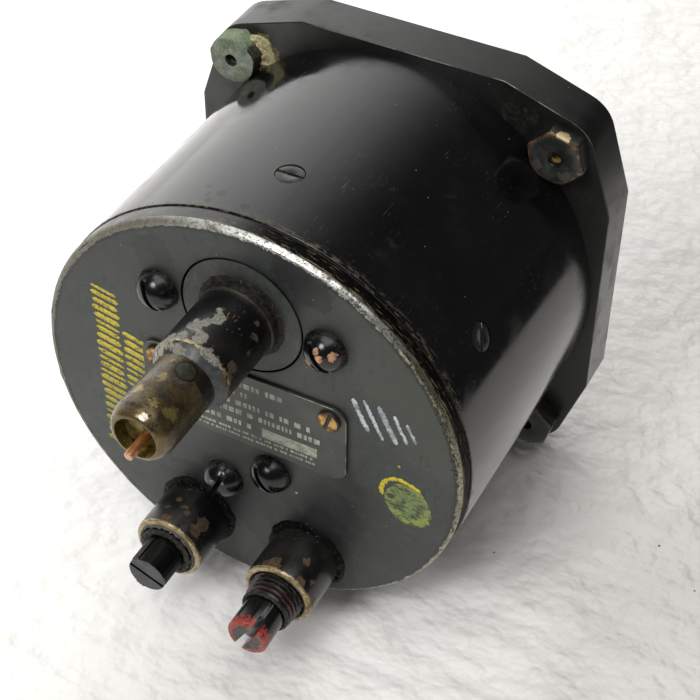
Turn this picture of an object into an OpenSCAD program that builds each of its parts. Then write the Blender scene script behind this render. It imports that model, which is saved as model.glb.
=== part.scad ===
// Triple engine gauge: three pressure elements behind one dial, in one round case.
// Millimetres. The gauge axis is Y, the dial looks along -Y and Z is up.
// The origin is the centre of the flange's panel face.
// Left and right are as seen from the dial.

/* [Case] */
// Height of the flange
flange_h = 82.55; // [82:0.05:83]
// Width of the flange
flange_w = 81.3; // [81:0.1:82]
// Sideways offset of the flange outline from the case axis
flange_shift = -0.62; // [-0.7:0.02:0]
// Thickness of the flange
flange_t = 9.06; // [8.5:0.02:9.5]
// Length of the flat top and bottom edges
flange_flat_h = 38.76; // [37:0.02:40]
// Length of the flat side edges
flange_flat_v = 40; // [38:0.1:41]
// Width between the rounded corners
corner_w = 70.76; // [70:0.02:71.5]
// Height between the rounded corners
corner_h = 72; // [71:0.1:72.5]
// Rounding of the four corners
corner_round = 7; // [5:0.5:8]
// Outside diameter of the barrel
barrel_d = 79.4; // [79.2:0.1:79.6]
// Bore of the barrel
barrel_bore = 72.6; // [72.4:0.1:73]
// Distance from the panel face to the seam of the rear cover
seam_y = 59.37; // [59.2:0.01:59.6]

/* [Mounting] */
// Centre distance of the four mounting holes, both ways
mount_pitch = 62.86; // [62.7:0.01:63]
// Radius of the tapped mounting holes
mount_hole_r = 1.4; // [1.3:0.05:1.45]
// Width across flats of the mounting nuts
nut_af = 9.4; // [9:0.1:9.4]
// Height of the nuts behind the flange
nut_h = 3.66; // [3.5:0.02:3.9]
// Radius of the nut shanks in the flange
nut_shank_r = 3.2; // [3:0.1:3.4]

/* [Front] */
// Radius of the cover glass
glass_r = 36; // [35.8:0.05:36.05]
// Thickness of the cover glass
glass_t = 2; // [1.8:0.1:2.2]
// Radius of the opening over the dial
sight_r = 34.6; // [34.2:0.1:34.8]
// Radius of the dial
dial_r = 35.9; // [35.5:0.1:36]
// Thickness of the dial
dial_t = 0.8; // [0.6:0.1:1]
// Length of the upper pointer from its axis
upper_pointer_len = 20; // [18:0.5:21]
// Length of the lower pointers from their axes
lower_pointer_len = 14.5; // [13:0.5:15]

/* [Rear cover] */
// Thickness of the rear cover
cover_t = 3.79; // [3.7:0.01:3.9]
// Outside diameter of the rear cover
cover_d = 79; // [78.8:0.1:79.2]
// Rounding of the cover's rim
cover_round = 1.2; // [0.8:0.1:1.5]
// Thickness of the gasket in the seam
gasket_t = 0.25; // [0.2:0.05:0.35]
// Distance of the side screws from the panel face
side_screw_y = 46.5; // [46:0.1:47]
// Radius of the side screw heads
side_screw_r = 2.5; // [2.3:0.05:2.6]
// Length of the data plate
plate_w = 38.6; // [38:0.1:39]
// Height of the data plate
plate_h = 16; // [15.5:0.1:16.5]
// Height of the data plate's centre above the case axis
plate_z = 2.5; // [2.3:0.1:2.7]
// Corner rounding of the data plate
plate_round = 2.7; // [2:0.1:3]
// Thickness of the data plate
plate_t = 0.6; // [0.5:0.05:0.7]

/* [Cover screws] */
// Radius of the round heads
head_r = 3.85; // [3.7:0.05:4]
// Height of the round heads
head_h = 3.5; // [3.3:0.05:3.6]
// Width of their slots
head_slot = 0.9; // [0.7:0.05:1.1]
// Radius of the screw shanks
shank_r = 1.95; // [1.8:0.05:1.95]

/* [Upper fitting] */
// Radius of the flush disc
disc_r = 11.1; // [10.9:0.05:11.15]
// Radius of the body
body_r = 6.7; // [6.6:0.05:6.8]
// Height of the body's shoulder above the seam
body_len = 19.13; // [19:0.01:19.3]
// Radius of the brass sleeve
sleeve_r = 5.3; // [5.2:0.05:5.4]
// Distance of the sleeve's mouth from the panel face
sleeve_end = 93.6; // [93.4:0.1:93.8]
// Radius of the sleeve's bore
sleeve_bore_r = 3.6; // [3.5:0.02:3.64]
// Radius of the capillary
capillary_r = 0.8; // [0.7:0.02:0.8]
// Distance of the capillary's cut end from the panel face
capillary_end = 96.6; // [96:0.1:97]

/* [Pressure ports] */
// Radius of the ports
port_r = 6.5; // [6.4:0.02:6.6]
// Distance of the port lips from the panel face
port_end = 73.9; // [73.7:0.1:74.1]
// Radius of the threaded bores, taken plain
port_bore_r = 5.12; // [5.1:0.01:5.2]
// Pitch of the pipe thread
thread_pitch = 0.9407; // [0.93:0.0001:0.95]
// Largest crest radius of the plug threads
thread_r = 5; // [4.9:0.02:5.02]
// Distance from the panel face to the left plug's thread end, part way out
left_thread_end = 77.7; // [77.5:0.1:77.9]
// Distance from the panel face to the right plug's thread end, screwed in
right_thread_end = 74.25; // [74.2:0.05:74.4]

/* [Gear train] */
// Module of the teeth
gear_module = 0.4; // [0.38:0.01:0.4]
// Teeth on a pinion
pinion_teeth = 12; // [12:1:12]
// Teeth on a full circle of a sector
sector_teeth = 72; // [72:1:72]
// Play between the flanks
backlash = 0.1; // [0.08:0.01:0.14]
// Sweep of the upper sector from its stop, degrees
upper_sweep = 20; // [18:1:20]
// Sweep of the lower sectors from their stops, degrees
lower_sweep = 16; // [14:1:16]

/* [Pressure elements] */
// Radius of the bent tubes
coil_r = 12; // [11.5:0.1:12.1]
// Width of the flattened tubes
tube_w = 6; // [5.5:0.1:6.2]
// Thickness of the flattened tubes
tube_t = 2; // [1.8:0.1:2.1]
// Wall of the flattened tubes
tube_wall = 0.3; // [0.25:0.05:0.4]
// Length of the sectors' tail arms
tail_r = 5; // [4.8:0.1:5]

/* [Hidden] */
$fn = 64;
eps = 0.01;
seat_gap = 0.02;      // round a shank in its seat
run_gap = 0.05;       // round a turning pin
GLOSS = "#161616";
PAINT = "#3a3b3a";
BRASS = "#b08d4a";
STEEL = "#9a9ca0";
COPPER = "#b4683c";

// Turns one flat of each nut towards the barrel
nut_turn = 15;
nut_bevel = 2.6;

// Panel side, front to back
ring_groove = [0.95, 2.05];
ring_inner_r = 34;
ring_outer_r = 36.8;
ring_split = 10;
glass_y = 2;
recess_r = 36.2;
recess_end = 4.6;
shoulder_end = 6.6;
dial_y = 8;
front_plate = [15, 16.5];
rear_plate = [32, 33.5];
plate_r = 33.5;
bore_r = barrel_bore / 2;
barrel_r = barrel_d / 2;
barrel_end = seam_y - gasket_t;

// Rear cover and what passes through it
cover_end = seam_y + cover_t;
cover_r = cover_d / 2;
lug_r = [32.9, 36.2];
lug_w = 9;
lug_start = 42;
lug_angles = [for (i = [0:5]) 30 + 60 * i];
inner_limit = 32.6;
clamp = [55.1, 57.3];
side_head_depth = 1.8;
side_head_top = barrel_r - 0.08;
side_shank_r = 1.5;
side_slot_turn = -42;

// Upper fitting, its sleeve and the capillary
upper_at = [-0.22, 22.87];
upper_rim_r = 12.5;
neck_r = 9.6;
collar_r = 7;
collar_h = 2.04;
shoulder_h = 1.5;
fitting_bore_r = 3;
sleeve_start = 72;
sleeve_tail_r = 4.6;
sleeve_step = seam_y + body_len + shoulder_h;
sleeve_straight = 90.3;
mouth_r = 3.75;
mouth_floor = 91.3;
plug_floor = 76;
pin_r = 1.55;
pin_y = 82.1;
pin_turn = 112;
pin_root = 2;
capillary_at = [-0.85, 22];
capillary_bore_r = 0.4;
capillary_start = 43.5;
element_mid = 41.5;

// Pressure ports and their plugs
left_port_at = [-11.4, -28.1];
right_port_at = [10.75, -28.1];
port_rim_r = 8.4;
port_neck_r = 5.5;
port_collar_r = 7.05;
port_hole_gap = 0.15;
port_floor = 65;
passage_r = 1.5;
lip_h = 0.6;
thread_depth = 0.5;
thread_taper = 0.105;
thread_len = 8.4;
left_shank = [3.75, 84.3, 0.35];
right_shank = [3.6, 80.7, 0.1];
washer_h = [0.5, 0.75];
washer_bevel = 0.45;
left_slot = [1.45, 2.8, 120];
right_slot = [0.5, 1, 22];

// Screws in the cover: place and slot direction
upper_screws = [[15.3, 22.3, 64.8], [-15.4, 22.3, 52.8]];
lower_screws = [[4.9, -16.8, 110.6], [-4.7, -10.8, 50]];
name_screws = [[-16.3, 7.9], [16.3, 7.9]];
name_screw_slot = [0.7, 107];

// Frame that carries the movement
pillars = [[-20, 20], [20, 20], [-24, -18], [24, -18]];
pillar_r = 2;
stud_r = 1;
posts = [[-30.5, 6], [30.5, 6], [0, -25]];
post_r = 2.5;
post_stub = [1.5, 2];
frame_screw_head = [2.1, 1.6];
dial_posts_at = [[-30.5, 8], [30.5, 8]];
dial_post_r = 1.8;
dial_screw_head = [1.7, 0.8];

// Gear train
pressure_angle = 20;
flank_steps = 4;
pinion_r = pinion_teeth * gear_module / 2;
sector_r = sector_teeth * gear_module / 2;
centre_distance = pinion_r + sector_r;
gear_ratio = sector_teeth / pinion_teeth;
pinion_add = 0.32;
sector_add = 0.24;
root_gap = 0.12;
rim_depth = 2.2;
sector_side_teeth = 3;
pinion_y = [18.6, 22];
sector_y = [19.5, 21];
hub_y = [18.8, 21.8];
hub_r = 2.4;
arbor_r = 0.5;
sector_arbor_r = 0.8;
tail_y = [34.2, 35.4];
tail_pin_end = 37;
link_y = [35.7, 36.6];
link_pin_r = 0.6;
collet = [1.3, 25, 26.8];
spring_y = [25.4, 26.4];
spring_r = [1.5, 5.7];
spring_turns = 5;
spring_t = 0.16;
pointer_y = [6.4, 6.8];
pointer_hub = [1.7, 5.8, 7.6];

// Each train: pointer axis, coil centre, tip angle, wrap, sweep, side of the tail, pointer at rest
upper_train = [[0, 8], [0, 15.5], 180, 268, upper_sweep, -1, 150];
lower_train = [[-14.5, -11], [-14.5, -12.5], 60, 220, lower_sweep, 1, 240];

// Pressure elements
tube_y = 41.5;
block_size = [4.2, 4.4, 7.4];
block_lead = 1.5;
pocket_gap = 0.06;
socket_start = 37.6;
upper_socket_r = 6.9;
lower_socket_r = 5.8;

function polar(r, a) = [r * cos(a), r * sin(a)];
function angle_of(v) = atan2(v[1], v[0]);
function inv(a) = tan(a) * 180 / PI - a;

// Places of one train in the dial plane
function sector_axis(t) = t[0] + [0, centre_distance];
function tip_pin(t) = t[1] + polar(coil_r, t[2] - block_lead);
function tail_mid(t) =
    let (v = tip_pin(t) - sector_axis(t))
    angle_of(v) + t[5] * acos(tail_r / norm(v));
function tail_pin(t) = sector_axis(t) + polar(tail_r, tail_mid(t) - t[4] / 2);

// Centre of the circle of radius r that rounds the corner b of the path a, b, c
function corner_centre(a, b, c, r) =
    let (u = (a - b) / norm(a - b), v = (c - b) / norm(c - b), half = acos(u * v) / 2)
    b + (u + v) / norm(u + v) * r / sin(half);
function corner_cut(a, b, c, r) =
    let (u = (a - b) / norm(a - b), v = (c - b) / norm(c - b), t = r / tan(acos(u * v) / 2))
    [b + u * t, b + v * t];

// Half width of an involute tooth at radius r, in degrees
function tooth_half(r, teeth) =
    let (pitch_r = teeth * gear_module / 2,
         base_r = pitch_r * cos(pressure_angle),
         half = 90 / teeth - backlash / 4 / pitch_r * 180 / PI)
    half + inv(pressure_angle) - inv(acos(min(1, base_r / r)));
function tooth(a, teeth, root_r, tip_r) =
    let (radii = [for (i = [0:flank_steps]) root_r + (tip_r - root_r) * i / flank_steps])
    concat([for (r = radii) polar(r, a - tooth_half(r, teeth))],
           [for (i = [flank_steps:-1:0]) polar(radii[i], a + tooth_half(radii[i], teeth))]);

// Extrudes a drawing of the dial plane from y0 to y1
module plate(y0, y1) {
    translate([0, y1, 0]) rotate([90, 0, 0]) linear_extrude(y1 - y0) children();
}

// A round bar along the gauge axis
module rod(p, r, y0, y1) {
    translate([p[0], y0, p[1]]) rotate([-90, 0, 0]) cylinder(h = y1 - y0, r = r);
}

// Turns a profile of [radius, y] points round the axis through p
module turned(p) {
    translate([p[0], 0, p[1]]) rotate([-90, 0, 0]) rotate_extrude() children();
}

// Places children at p with their own X along the direction a of the dial plane
module facing(p, y, a) {
    translate([p[0], y, p[1]]) rotate([0, -a, 0]) children();
}

// A radial bar of the barrel at angle a
module radial(a, y, r, r0, r1) {
    facing([0, 0], y, a) translate([r0, 0, 0]) rotate([0, 90, 0]) cylinder(h = r1 - r0, r = r);
}

// A straight bar of width w between two points of a drawing
module bar(a, b, w) {
    translate(a) rotate(angle_of(b - a)) translate([0, -w / 2]) square([norm(b - a), w]);
}

module hexagon(af) {
    circle(r = af / 2 / cos(30), $fn = 6);
}

// CASE

module flange_outline() {
    half = [flange_w, flange_h] / 2;
    a = [flange_flat_h / 2, half[1]];
    b = [corner_w, corner_h] / 2;
    c = [half[0], flange_flat_v / 2];
    cut = corner_cut(a, b, c, corner_round);
    centre = corner_centre(a, b, c, corner_round);
    quarter = [a, cut[0], cut[1], c];
    flip = [for (i = [3:-1:0]) quarter[i]];
    translate([flange_shift, 0]) {
        polygon(concat([for (p = flip) p], [for (p = quarter) [-p[0], p[1]]],
                       [for (p = flip) -p], [for (p = quarter) [p[0], -p[1]]]));
        for (sx = [-1, 1], sz = [-1, 1])
            translate([sx * centre[0], sz * centre[1]]) circle(r = corner_round);
    }
}

module case_bore() {
    turned([0, 0]) polygon([
        [0, -1], [recess_r, -1], [recess_r, ring_groove[0]], [ring_outer_r + 0.2, ring_groove[0]],
        [ring_outer_r + 0.2, ring_groove[1]], [recess_r, ring_groove[1]], [recess_r, recess_end],
        [sight_r, recess_end], [sight_r, shoulder_end], [bore_r, shoulder_end],
        [bore_r, seam_y], [0, seam_y]]);
}

// Places children at the four corners, drawn for the upper right one
module mount_places() {
    for (mx = [0, 1], mz = [0, 1])
        mirror([mx, 0, 0]) mirror([0, 0, mz]) translate([mount_pitch, 0, mount_pitch] / 2) children();
}

module case_shell() {
    color(GLOSS) difference() {
        union() {
            plate(0, flange_t) flange_outline();
            rod([0, 0], barrel_r, flange_t - 1, barrel_end);
        }
        case_bore();
        mount_places() rod([0, 0], nut_shank_r + seat_gap, -1, flange_t + 1);
        for (a = lug_angles) {
            radial(a, side_screw_y, side_shank_r + 0.1, bore_r - 1, barrel_r);
            radial(a, side_screw_y, side_screw_r + seat_gap, side_head_top - side_head_depth, barrel_r + 1);
        }
    }
}

module mounting_nuts() {
    nut_end = flange_t + nut_h;
    color("#6f6a52") mount_places() difference() {
        union() {
            rod([0, 0], nut_shank_r, 0, flange_t + eps);
            intersection() {
                plate(flange_t, nut_end) rotate(nut_turn) hexagon(nut_af);
                turned([0, 0]) polygon([[0, flange_t], [nut_af, flange_t], [nut_af, nut_end - nut_bevel],
                                        [nut_af / 2 - 0.2, nut_end], [0, nut_end]]);
            }
        }
        rod([0, 0], mount_hole_r, -1, nut_end + 1);
    }
}

module case_side_screws() {
    color(GLOSS) for (a = lug_angles) difference() {
        union() {
            radial(a, side_screw_y, side_screw_r, side_head_top - side_head_depth, side_head_top);
            radial(a, side_screw_y, side_shank_r, lug_r[0] + 0.3, side_head_top - side_head_depth);
        }
        facing([0, 0], side_screw_y, a) translate([side_head_top, 0, 0])
            rotate([a == 90 ? 0 : side_slot_turn, 0, 0]) cube([1.4, 0.7, 8], center = true);
    }
}

// FRONT

module glass_retaining_ring() {
    color(STEEL) plate(ring_groove[0] + run_gap, ring_groove[1] - run_gap) difference() {
        circle(r = ring_outer_r);
        circle(r = ring_inner_r);
        polygon([[0, 0], polar(50, 270 - ring_split / 2), polar(50, 270 + ring_split / 2)]);
    }
}

module cover_glass() {
    color([0.8, 0.9, 0.9, 0.35]) rod([0, 0], glass_r, glass_y, glass_y + glass_t);
}

module glass_gasket() {
    color("#202020") plate(glass_y + glass_t, recess_end) difference() {
        circle(r = glass_r);
        circle(r = sight_r + 0.1);
    }
}

module dial_plate() {
    color("#121212") plate(dial_y, dial_y + dial_t) difference() {
        circle(r = dial_r);
        for (p = [upper_train[0], lower_train[0], [-lower_train[0][0], lower_train[0][1]]])
            translate(p) circle(r = 1.2);
        for (p = dial_posts_at) translate(p) circle(r = 0.9);
    }
}

module dial_screws() {
    head_y = dial_y - dial_screw_head[1];
    color("#2a2a2a") for (p = dial_posts_at) difference() {
        union() {
            rod(p, dial_screw_head[0], head_y, dial_y);
            rod(p, 0.78, dial_y, dial_y + 4.4);
        }
        facing(p, head_y, 20) cube([6, 0.8, 0.4], center = true);
    }
}

module dial_posts() {
    color(BRASS) for (p = dial_posts_at) difference() {
        union() {
            rod(p, dial_post_r, dial_y + dial_t, front_plate[0]);
            rod(p, stud_r, front_plate[0], front_plate[1]);
        }
        rod(p, 0.8, dial_y, dial_y + 5);
    }
}

// REAR COVER

module cover_lugs() {
    intersection() {
        plate(lug_start, seam_y + 1) difference() {
            circle(r = lug_r[1]);
            circle(r = lug_r[0]);
        }
        for (a = lug_angles) facing([0, 0], 0, a) translate([20, 0, -lug_w / 2]) cube([20, 100, lug_w]);
    }
}

module cover_disc() {
    turned([0, 0]) {
        translate([0, seam_y]) square([cover_r - cover_round, cover_t]);
        translate([0, seam_y]) square([cover_r, cover_t - cover_round]);
        translate([cover_r - cover_round, cover_end - cover_round]) circle(r = cover_round);
    }
}

module rear_cover() {
    color(PAINT) difference() {
        union() {
            cover_disc();
            cover_lugs();
        }
        rod(upper_at, disc_r + 0.1, seam_y - 1, cover_end + 1);
        for (p = [left_port_at, right_port_at])
            rod(p, port_collar_r + port_hole_gap, seam_y - 1, cover_end + 1);
        for (s = concat(upper_screws, lower_screws)) rod(s, shank_r + 0.1, seam_y - 1, cover_end + 1);
        for (p = name_screws) rod(p, 0.95 + seat_gap, seam_y + 0.8, cover_end + 1);
        for (p = posts) rod(p, post_stub[0] + seat_gap, seam_y - 1, seam_y + post_stub[1] + 0.1);
        for (a = lug_angles) radial(a, side_screw_y, side_shank_r + seat_gap, lug_r[0] - 1, lug_r[1] + 1);
    }
}

module cover_gasket() {
    color("#15130f") plate(barrel_end, seam_y) difference() {
        circle(r = cover_r - 0.1);
        circle(r = bore_r + 0.3);
    }
}

module round_head_screw(s, tip_y) {
    sphere_r = (head_r * head_r + head_h * head_h) / 2 / head_h;
    difference() {
        union() {
            intersection() {
                translate([s[0], cover_end + head_h - sphere_r, s[1]]) rotate([-90, 0, 0])
                    sphere(r = sphere_r);
                rod(s, head_r, cover_end, cover_end + head_h);
            }
            rod(s, shank_r, tip_y, cover_end + eps);
        }
        facing(s, cover_end + head_h, s[2]) cube([12, 3.2, head_slot], center = true);
    }
}

module upper_cover_screws() {
    color(GLOSS) for (s = upper_screws) round_head_screw(s, clamp[0]);
}

module lower_cover_screws() {
    color(GLOSS) for (s = lower_screws) round_head_screw(s, clamp[0]);
}

module name_plate() {
    half = [plate_w, plate_h] / 2;
    color("#5b5b52") plate(cover_end, cover_end + plate_t) difference() {
        translate([0, plate_z]) {
            square([plate_w, plate_h - 2 * plate_round], center = true);
            square([plate_w - 2 * plate_round, plate_h], center = true);
            for (sx = [-1, 1], sz = [-1, 1])
                translate([sx * (half[0] - plate_round), sz * (half[1] - plate_round)])
                    circle(r = plate_round);
        }
        for (p = name_screws) translate(p) circle(r = 1);
    }
}

module name_plate_screws() {
    top = cover_end + plate_t;
    color(BRASS) for (p = name_screws) difference() {
        union() {
            turned(p) polygon([[0, top], [2.05, top], [2.05, top + 0.5], [1.7, top + 0.9], [0, top + 1]]);
            rod(p, 0.95, cover_end - 2.5, top);
        }
        facing(p, top + 1, name_screw_slot[1]) cube([6, 1.2, name_screw_slot[0]], center = true);
    }
}

// CLAMPS AND FRAME

module upper_clamp_bar() {
    color(STEEL) plate(clamp[0], clamp[1]) difference() {
        union() {
            translate(upper_at) circle(r = neck_r);
            for (s = upper_screws) {
                bar([0, s[1]], [s[0], s[1]], 8);
                translate([s[0], s[1]]) circle(r = 4);
            }
        }
        translate(upper_at) circle(r = upper_socket_r + 0.2);
        for (s = upper_screws) translate([s[0], s[1]]) circle(r = shank_r + seat_gap);
    }
}

module lower_clamp_plate() {
    color(STEEL) plate(clamp[0], clamp[1]) difference() {
        intersection() {
            circle(r = inner_limit);
            translate([-20, -33]) square([40, 26.5]);
        }
        for (p = [left_port_at, right_port_at]) translate(p) circle(r = lower_socket_r + 0.2);
        for (s = lower_screws) translate([s[0], s[1]]) circle(r = shank_r + seat_gap);
        translate(posts[2]) circle(r = post_r + 0.2);
    }
}

module frame_posts() {
    color(BRASS) for (p = posts) difference() {
        union() {
            rod(p, post_r, rear_plate[1], seam_y);
            rod(p, post_stub[0], seam_y - eps, seam_y + post_stub[1]);
        }
        rod(p, stud_r, rear_plate[1] - 1, rear_plate[1] + 6);
    }
}

module frame_screws() {
    head_y = rear_plate[0] - frame_screw_head[1];
    color(STEEL) for (p = posts) difference() {
        union() {
            rod(p, frame_screw_head[0], head_y, rear_plate[0]);
            rod(p, stud_r - seat_gap, rear_plate[0] - eps, rear_plate[1] + 5);
        }
        facing(p, head_y, 35) cube([6, 1.4, 0.5], center = true);
    }
}

module movement_pillars() {
    color(BRASS) for (p = pillars) {
        rod(p, pillar_r, front_plate[1], rear_plate[0]);
        rod(p, stud_r, front_plate[0], rear_plate[1]);
    }
}

// Holes for the arbors of all three trains
module arbor_holes() {
    for (m = [0, 1], t = [upper_train, lower_train]) mirror([m, 0]) {
        translate(t[0]) circle(r = arbor_r + run_gap);
        translate(sector_axis(t)) circle(r = sector_arbor_r + run_gap);
    }
}

module front_movement_plate() {
    color(BRASS) plate(front_plate[0], front_plate[1]) difference() {
        circle(r = plate_r);
        arbor_holes();
        for (p = concat(pillars, dial_posts_at)) translate(p) circle(r = stud_r + seat_gap);
    }
}

module rear_movement_plate() {
    color(BRASS) plate(rear_plate[0], rear_plate[1]) difference() {
        circle(r = plate_r);
        arbor_holes();
        for (p = concat(pillars, posts)) translate(p) circle(r = stud_r + seat_gap);
    }
}

// UPPER FITTING

module upper_fitting() {
    top = seam_y + body_len;
    color(GLOSS) difference() {
        union() {
            intersection() {
                rod(upper_at, upper_rim_r, clamp[1], seam_y - run_gap);
                rod([0, 0], inner_limit, clamp[1], seam_y);
            }
            turned(upper_at) polygon([
                [0, clamp[1]], [neck_r, clamp[1]], [neck_r, seam_y],
                [disc_r, seam_y], [disc_r, cover_end],
                [collar_r, cover_end], [collar_r, cover_end + collar_h], [body_r, cover_end + collar_h],
                [body_r, top], [sleeve_r, top + shoulder_h], [0, top + shoulder_h]]);
        }
        rod(upper_at, fitting_bore_r, clamp[1] - 1, sleeve_start);
        rod(upper_at, sleeve_tail_r + seat_gap, sleeve_start, top + 5);
    }
}

module sleeve_pin_hole(r) {
    facing(upper_at, pin_y, pin_turn) translate([pin_root, 0, 0]) rotate([0, 90, 0]) cylinder(h = 8, r = r);
}

module upper_sleeve() {
    nose = sleeve_end - sleeve_straight;
    color(BRASS) difference() {
        turned(upper_at) polygon(concat(
            [[2, sleeve_start], [sleeve_tail_r, sleeve_start], [sleeve_tail_r, sleeve_step],
             [sleeve_r, sleeve_step], [sleeve_r, sleeve_straight]],
            [for (i = [1:8]) [mouth_r + (sleeve_r - mouth_r) * cos(90 * i / 8),
                              sleeve_straight + nose * sin(90 * i / 8)]],
            [[sleeve_bore_r, sleeve_end], [sleeve_bore_r, plug_floor], [2, plug_floor]]));
        sleeve_pin_hole(pin_r + seat_gap);
    }
}

module sleeve_plug() {
    color("#c9a24e") difference() {
        rod(upper_at, sleeve_bore_r - seat_gap, plug_floor, mouth_floor);
        rod(capillary_at, capillary_r + seat_gap, plug_floor - 1, mouth_floor + 1);
        sleeve_pin_hole(pin_r + seat_gap);
    }
}

module sleeve_pin() {
    color(BRASS) intersection() {
        facing(upper_at, pin_y, pin_turn) translate([pin_root + 0.1, 0, 0]) rotate([0, 90, 0])
            cylinder(h = 6, r = pin_r);
        rod(upper_at, sleeve_r - 0.02, pin_y - 5, pin_y + 5);
    }
}

module capillary_tube() {
    color(COPPER) difference() {
        rod(capillary_at, capillary_r, capillary_start, capillary_end);
        rod(capillary_at, capillary_bore_r, capillary_start - 1, capillary_end + 1);
    }
}

// PORTS AND PLUGS

module port(p) {
    color(GLOSS) difference() {
        union() {
            intersection() {
                rod(p, port_rim_r, clamp[1], seam_y - run_gap);
                rod([0, 0], inner_limit, clamp[1], seam_y);
            }
            turned(p) polygon([
                [0, clamp[1]], [port_neck_r, clamp[1]], [port_neck_r, seam_y],
                [port_collar_r, seam_y], [port_collar_r, cover_end],
                [port_r, cover_end], [port_r, port_end - lip_h],
                [port_r - 0.17, port_end - 0.2], [port_r - 0.6, port_end], [0, port_end]]);
        }
        rod(p, passage_r, clamp[1] - 1, port_floor + 1);
        turned(p) polygon([[0, port_floor], [port_bore_r, port_floor], [port_bore_r, port_end - 0.3],
                           [port_bore_r + 0.3, port_end], [port_bore_r + 0.3, port_end + 1],
                           [0, port_end + 1]]);
    }
}

module left_port() {
    port(left_port_at);
}

module right_port() {
    port(right_port_at);
}

// Crest radius of a plug's thread at depth d below its outer end
function crest(d) = min(thread_r, thread_r - 0.45 + thread_taper * d);

module plug(p, thread_end, shank, slot) {
    turns = floor(thread_len / thread_pitch);
    steps = [for (i = [0:turns - 1]) i * thread_pitch];
    bevel = shank[2];
    color(GLOSS) difference() {
        turned(p) polygon(concat(
            [[0, shank[1]], [shank[0] - bevel, shank[1]], [shank[0], shank[1] - bevel],
             [shank[0], thread_end]],
            [for (d = steps) each [
                [crest(d) - thread_depth, thread_end - d],
                [crest(d), thread_end - d - thread_pitch * 0.42],
                [crest(d), thread_end - d - thread_pitch * 0.58]]],
            [[thread_r - 0.9, thread_end - thread_len], [0, thread_end - thread_len]]));
        facing(p, shank[1], slot[2]) cube([20, 2 * slot[1], slot[0]], center = true);
    }
}

module plug_washer(p, thread_end, h, shank) {
    outer = crest(0);
    inner = shank[0] + run_gap;
    color("#3b342c") turned(p) polygon([
        [inner, thread_end + eps], [outer, thread_end + eps], [outer, thread_end + h / 2],
        [outer - washer_bevel, thread_end + h], [inner, thread_end + h]]);
}

module left_plug() {
    plug(left_port_at, left_thread_end, left_shank, left_slot);
}

module right_plug() {
    plug(right_port_at, right_thread_end, right_shank, right_slot);
}

module left_plug_washer() {
    plug_washer(left_port_at, left_thread_end, washer_h[0], left_shank);
}

module right_plug_washer() {
    plug_washer(right_port_at, right_thread_end, washer_h[1], right_shank);
}

// GEAR TRAINS

module pinion_outline() {
    polygon([for (i = [0:pinion_teeth - 1])
        each tooth(i * 360 / pinion_teeth, pinion_teeth,
                   pinion_r - sector_add - root_gap, pinion_r + pinion_add)]);
}

module sector_outline() {
    step = 360 / sector_teeth;
    root_r = sector_r - pinion_add - root_gap;
    edge = (sector_side_teeth + 0.5) * step;
    inner_r = root_r - rim_depth;
    polygon(concat(
        [polar(root_r, -edge)],
        [for (i = [-sector_side_teeth:sector_side_teeth])
            each tooth(i * step, sector_teeth, root_r, sector_r + sector_add)],
        [polar(root_r, edge)],
        [for (i = [4:-1:-4]) polar(inner_r, edge * i / 4)]));
    polygon([[0, -1.6], [inner_r + 0.3, -3], [inner_r + 0.3, 3], [0, 1.6]]);
}

module sector_of(t) {
    color(BRASS) difference() {
        union() {
            plate(sector_y[0], sector_y[1])
                translate(sector_axis(t)) rotate(270 - t[4] / 2) sector_outline();
            rod(sector_axis(t), hub_r, hub_y[0], hub_y[1]);
        }
        rod(sector_axis(t), sector_arbor_r + eps, hub_y[0] - 1, hub_y[1] + 1);
    }
}

module sector_arbor_of(t) {
    s = sector_axis(t);
    p = tail_pin(t);
    color(STEEL) {
        rod(s, sector_arbor_r, front_plate[0] + 0.3, tail_y[1]);
        plate(tail_y[0], tail_y[1]) {
            translate(s) circle(r = 2);
            translate(p) circle(r = 1.2);
            bar(s, p, 1.8);
        }
        rod(p, link_pin_r, tail_y[0], tail_pin_end);
    }
}

module pinion_arbor_of(t) {
    mesh_turn = 90 + 180 / pinion_teeth + gear_ratio * t[4] / 2;
    color(STEEL) {
        rod(t[0], arbor_r, pointer_hub[1] + 0.5, rear_plate[1] - 0.2);
        plate(pinion_y[0], pinion_y[1]) translate(t[0]) rotate(mesh_turn) pinion_outline();
        rod(t[0], collet[0], collet[1], collet[2]);
    }
}

module pointer_of(t, len) {
    color("#e8e4d0") difference() {
        union() {
            plate(pointer_y[0], pointer_y[1]) translate(t[0]) rotate(t[6]) {
                polygon([[0, -0.9], [len - 1.5, -0.45], [len, 0], [len - 1.5, 0.45], [0, 0.9]]);
                translate([-4.5, -0.8]) square([4.5, 1.6]);
                translate([-4.5, 0]) circle(r = 1.4);
            }
            rod(t[0], pointer_hub[0], pointer_hub[1], pointer_hub[2]);
        }
        rod(t[0], arbor_r + eps, pointer_hub[1] + 0.5 - eps, pointer_hub[2] + 1);
    }
}

module hairspring_of(t) {
    steps = spring_turns * 20;
    radii = [for (i = [0:steps]) spring_r[0] + (spring_r[1] - spring_r[0]) * i / steps];
    turns = [for (i = [0:steps]) 270 + 360 * spring_turns * (i / steps - 1)];
    color("#4a5a78") {
        plate(spring_y[0], spring_y[1]) translate(t[0]) polygon(concat(
            [for (i = [0:steps]) polar(radii[i] - spring_t / 2, turns[i])],
            [for (i = [steps:-1:0]) polar(radii[i] + spring_t / 2, turns[i])]));
        rod(t[0] + [0, -spring_r[1] - 0.3], 0.7, spring_y[0], rear_plate[0]);
    }
}

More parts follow.
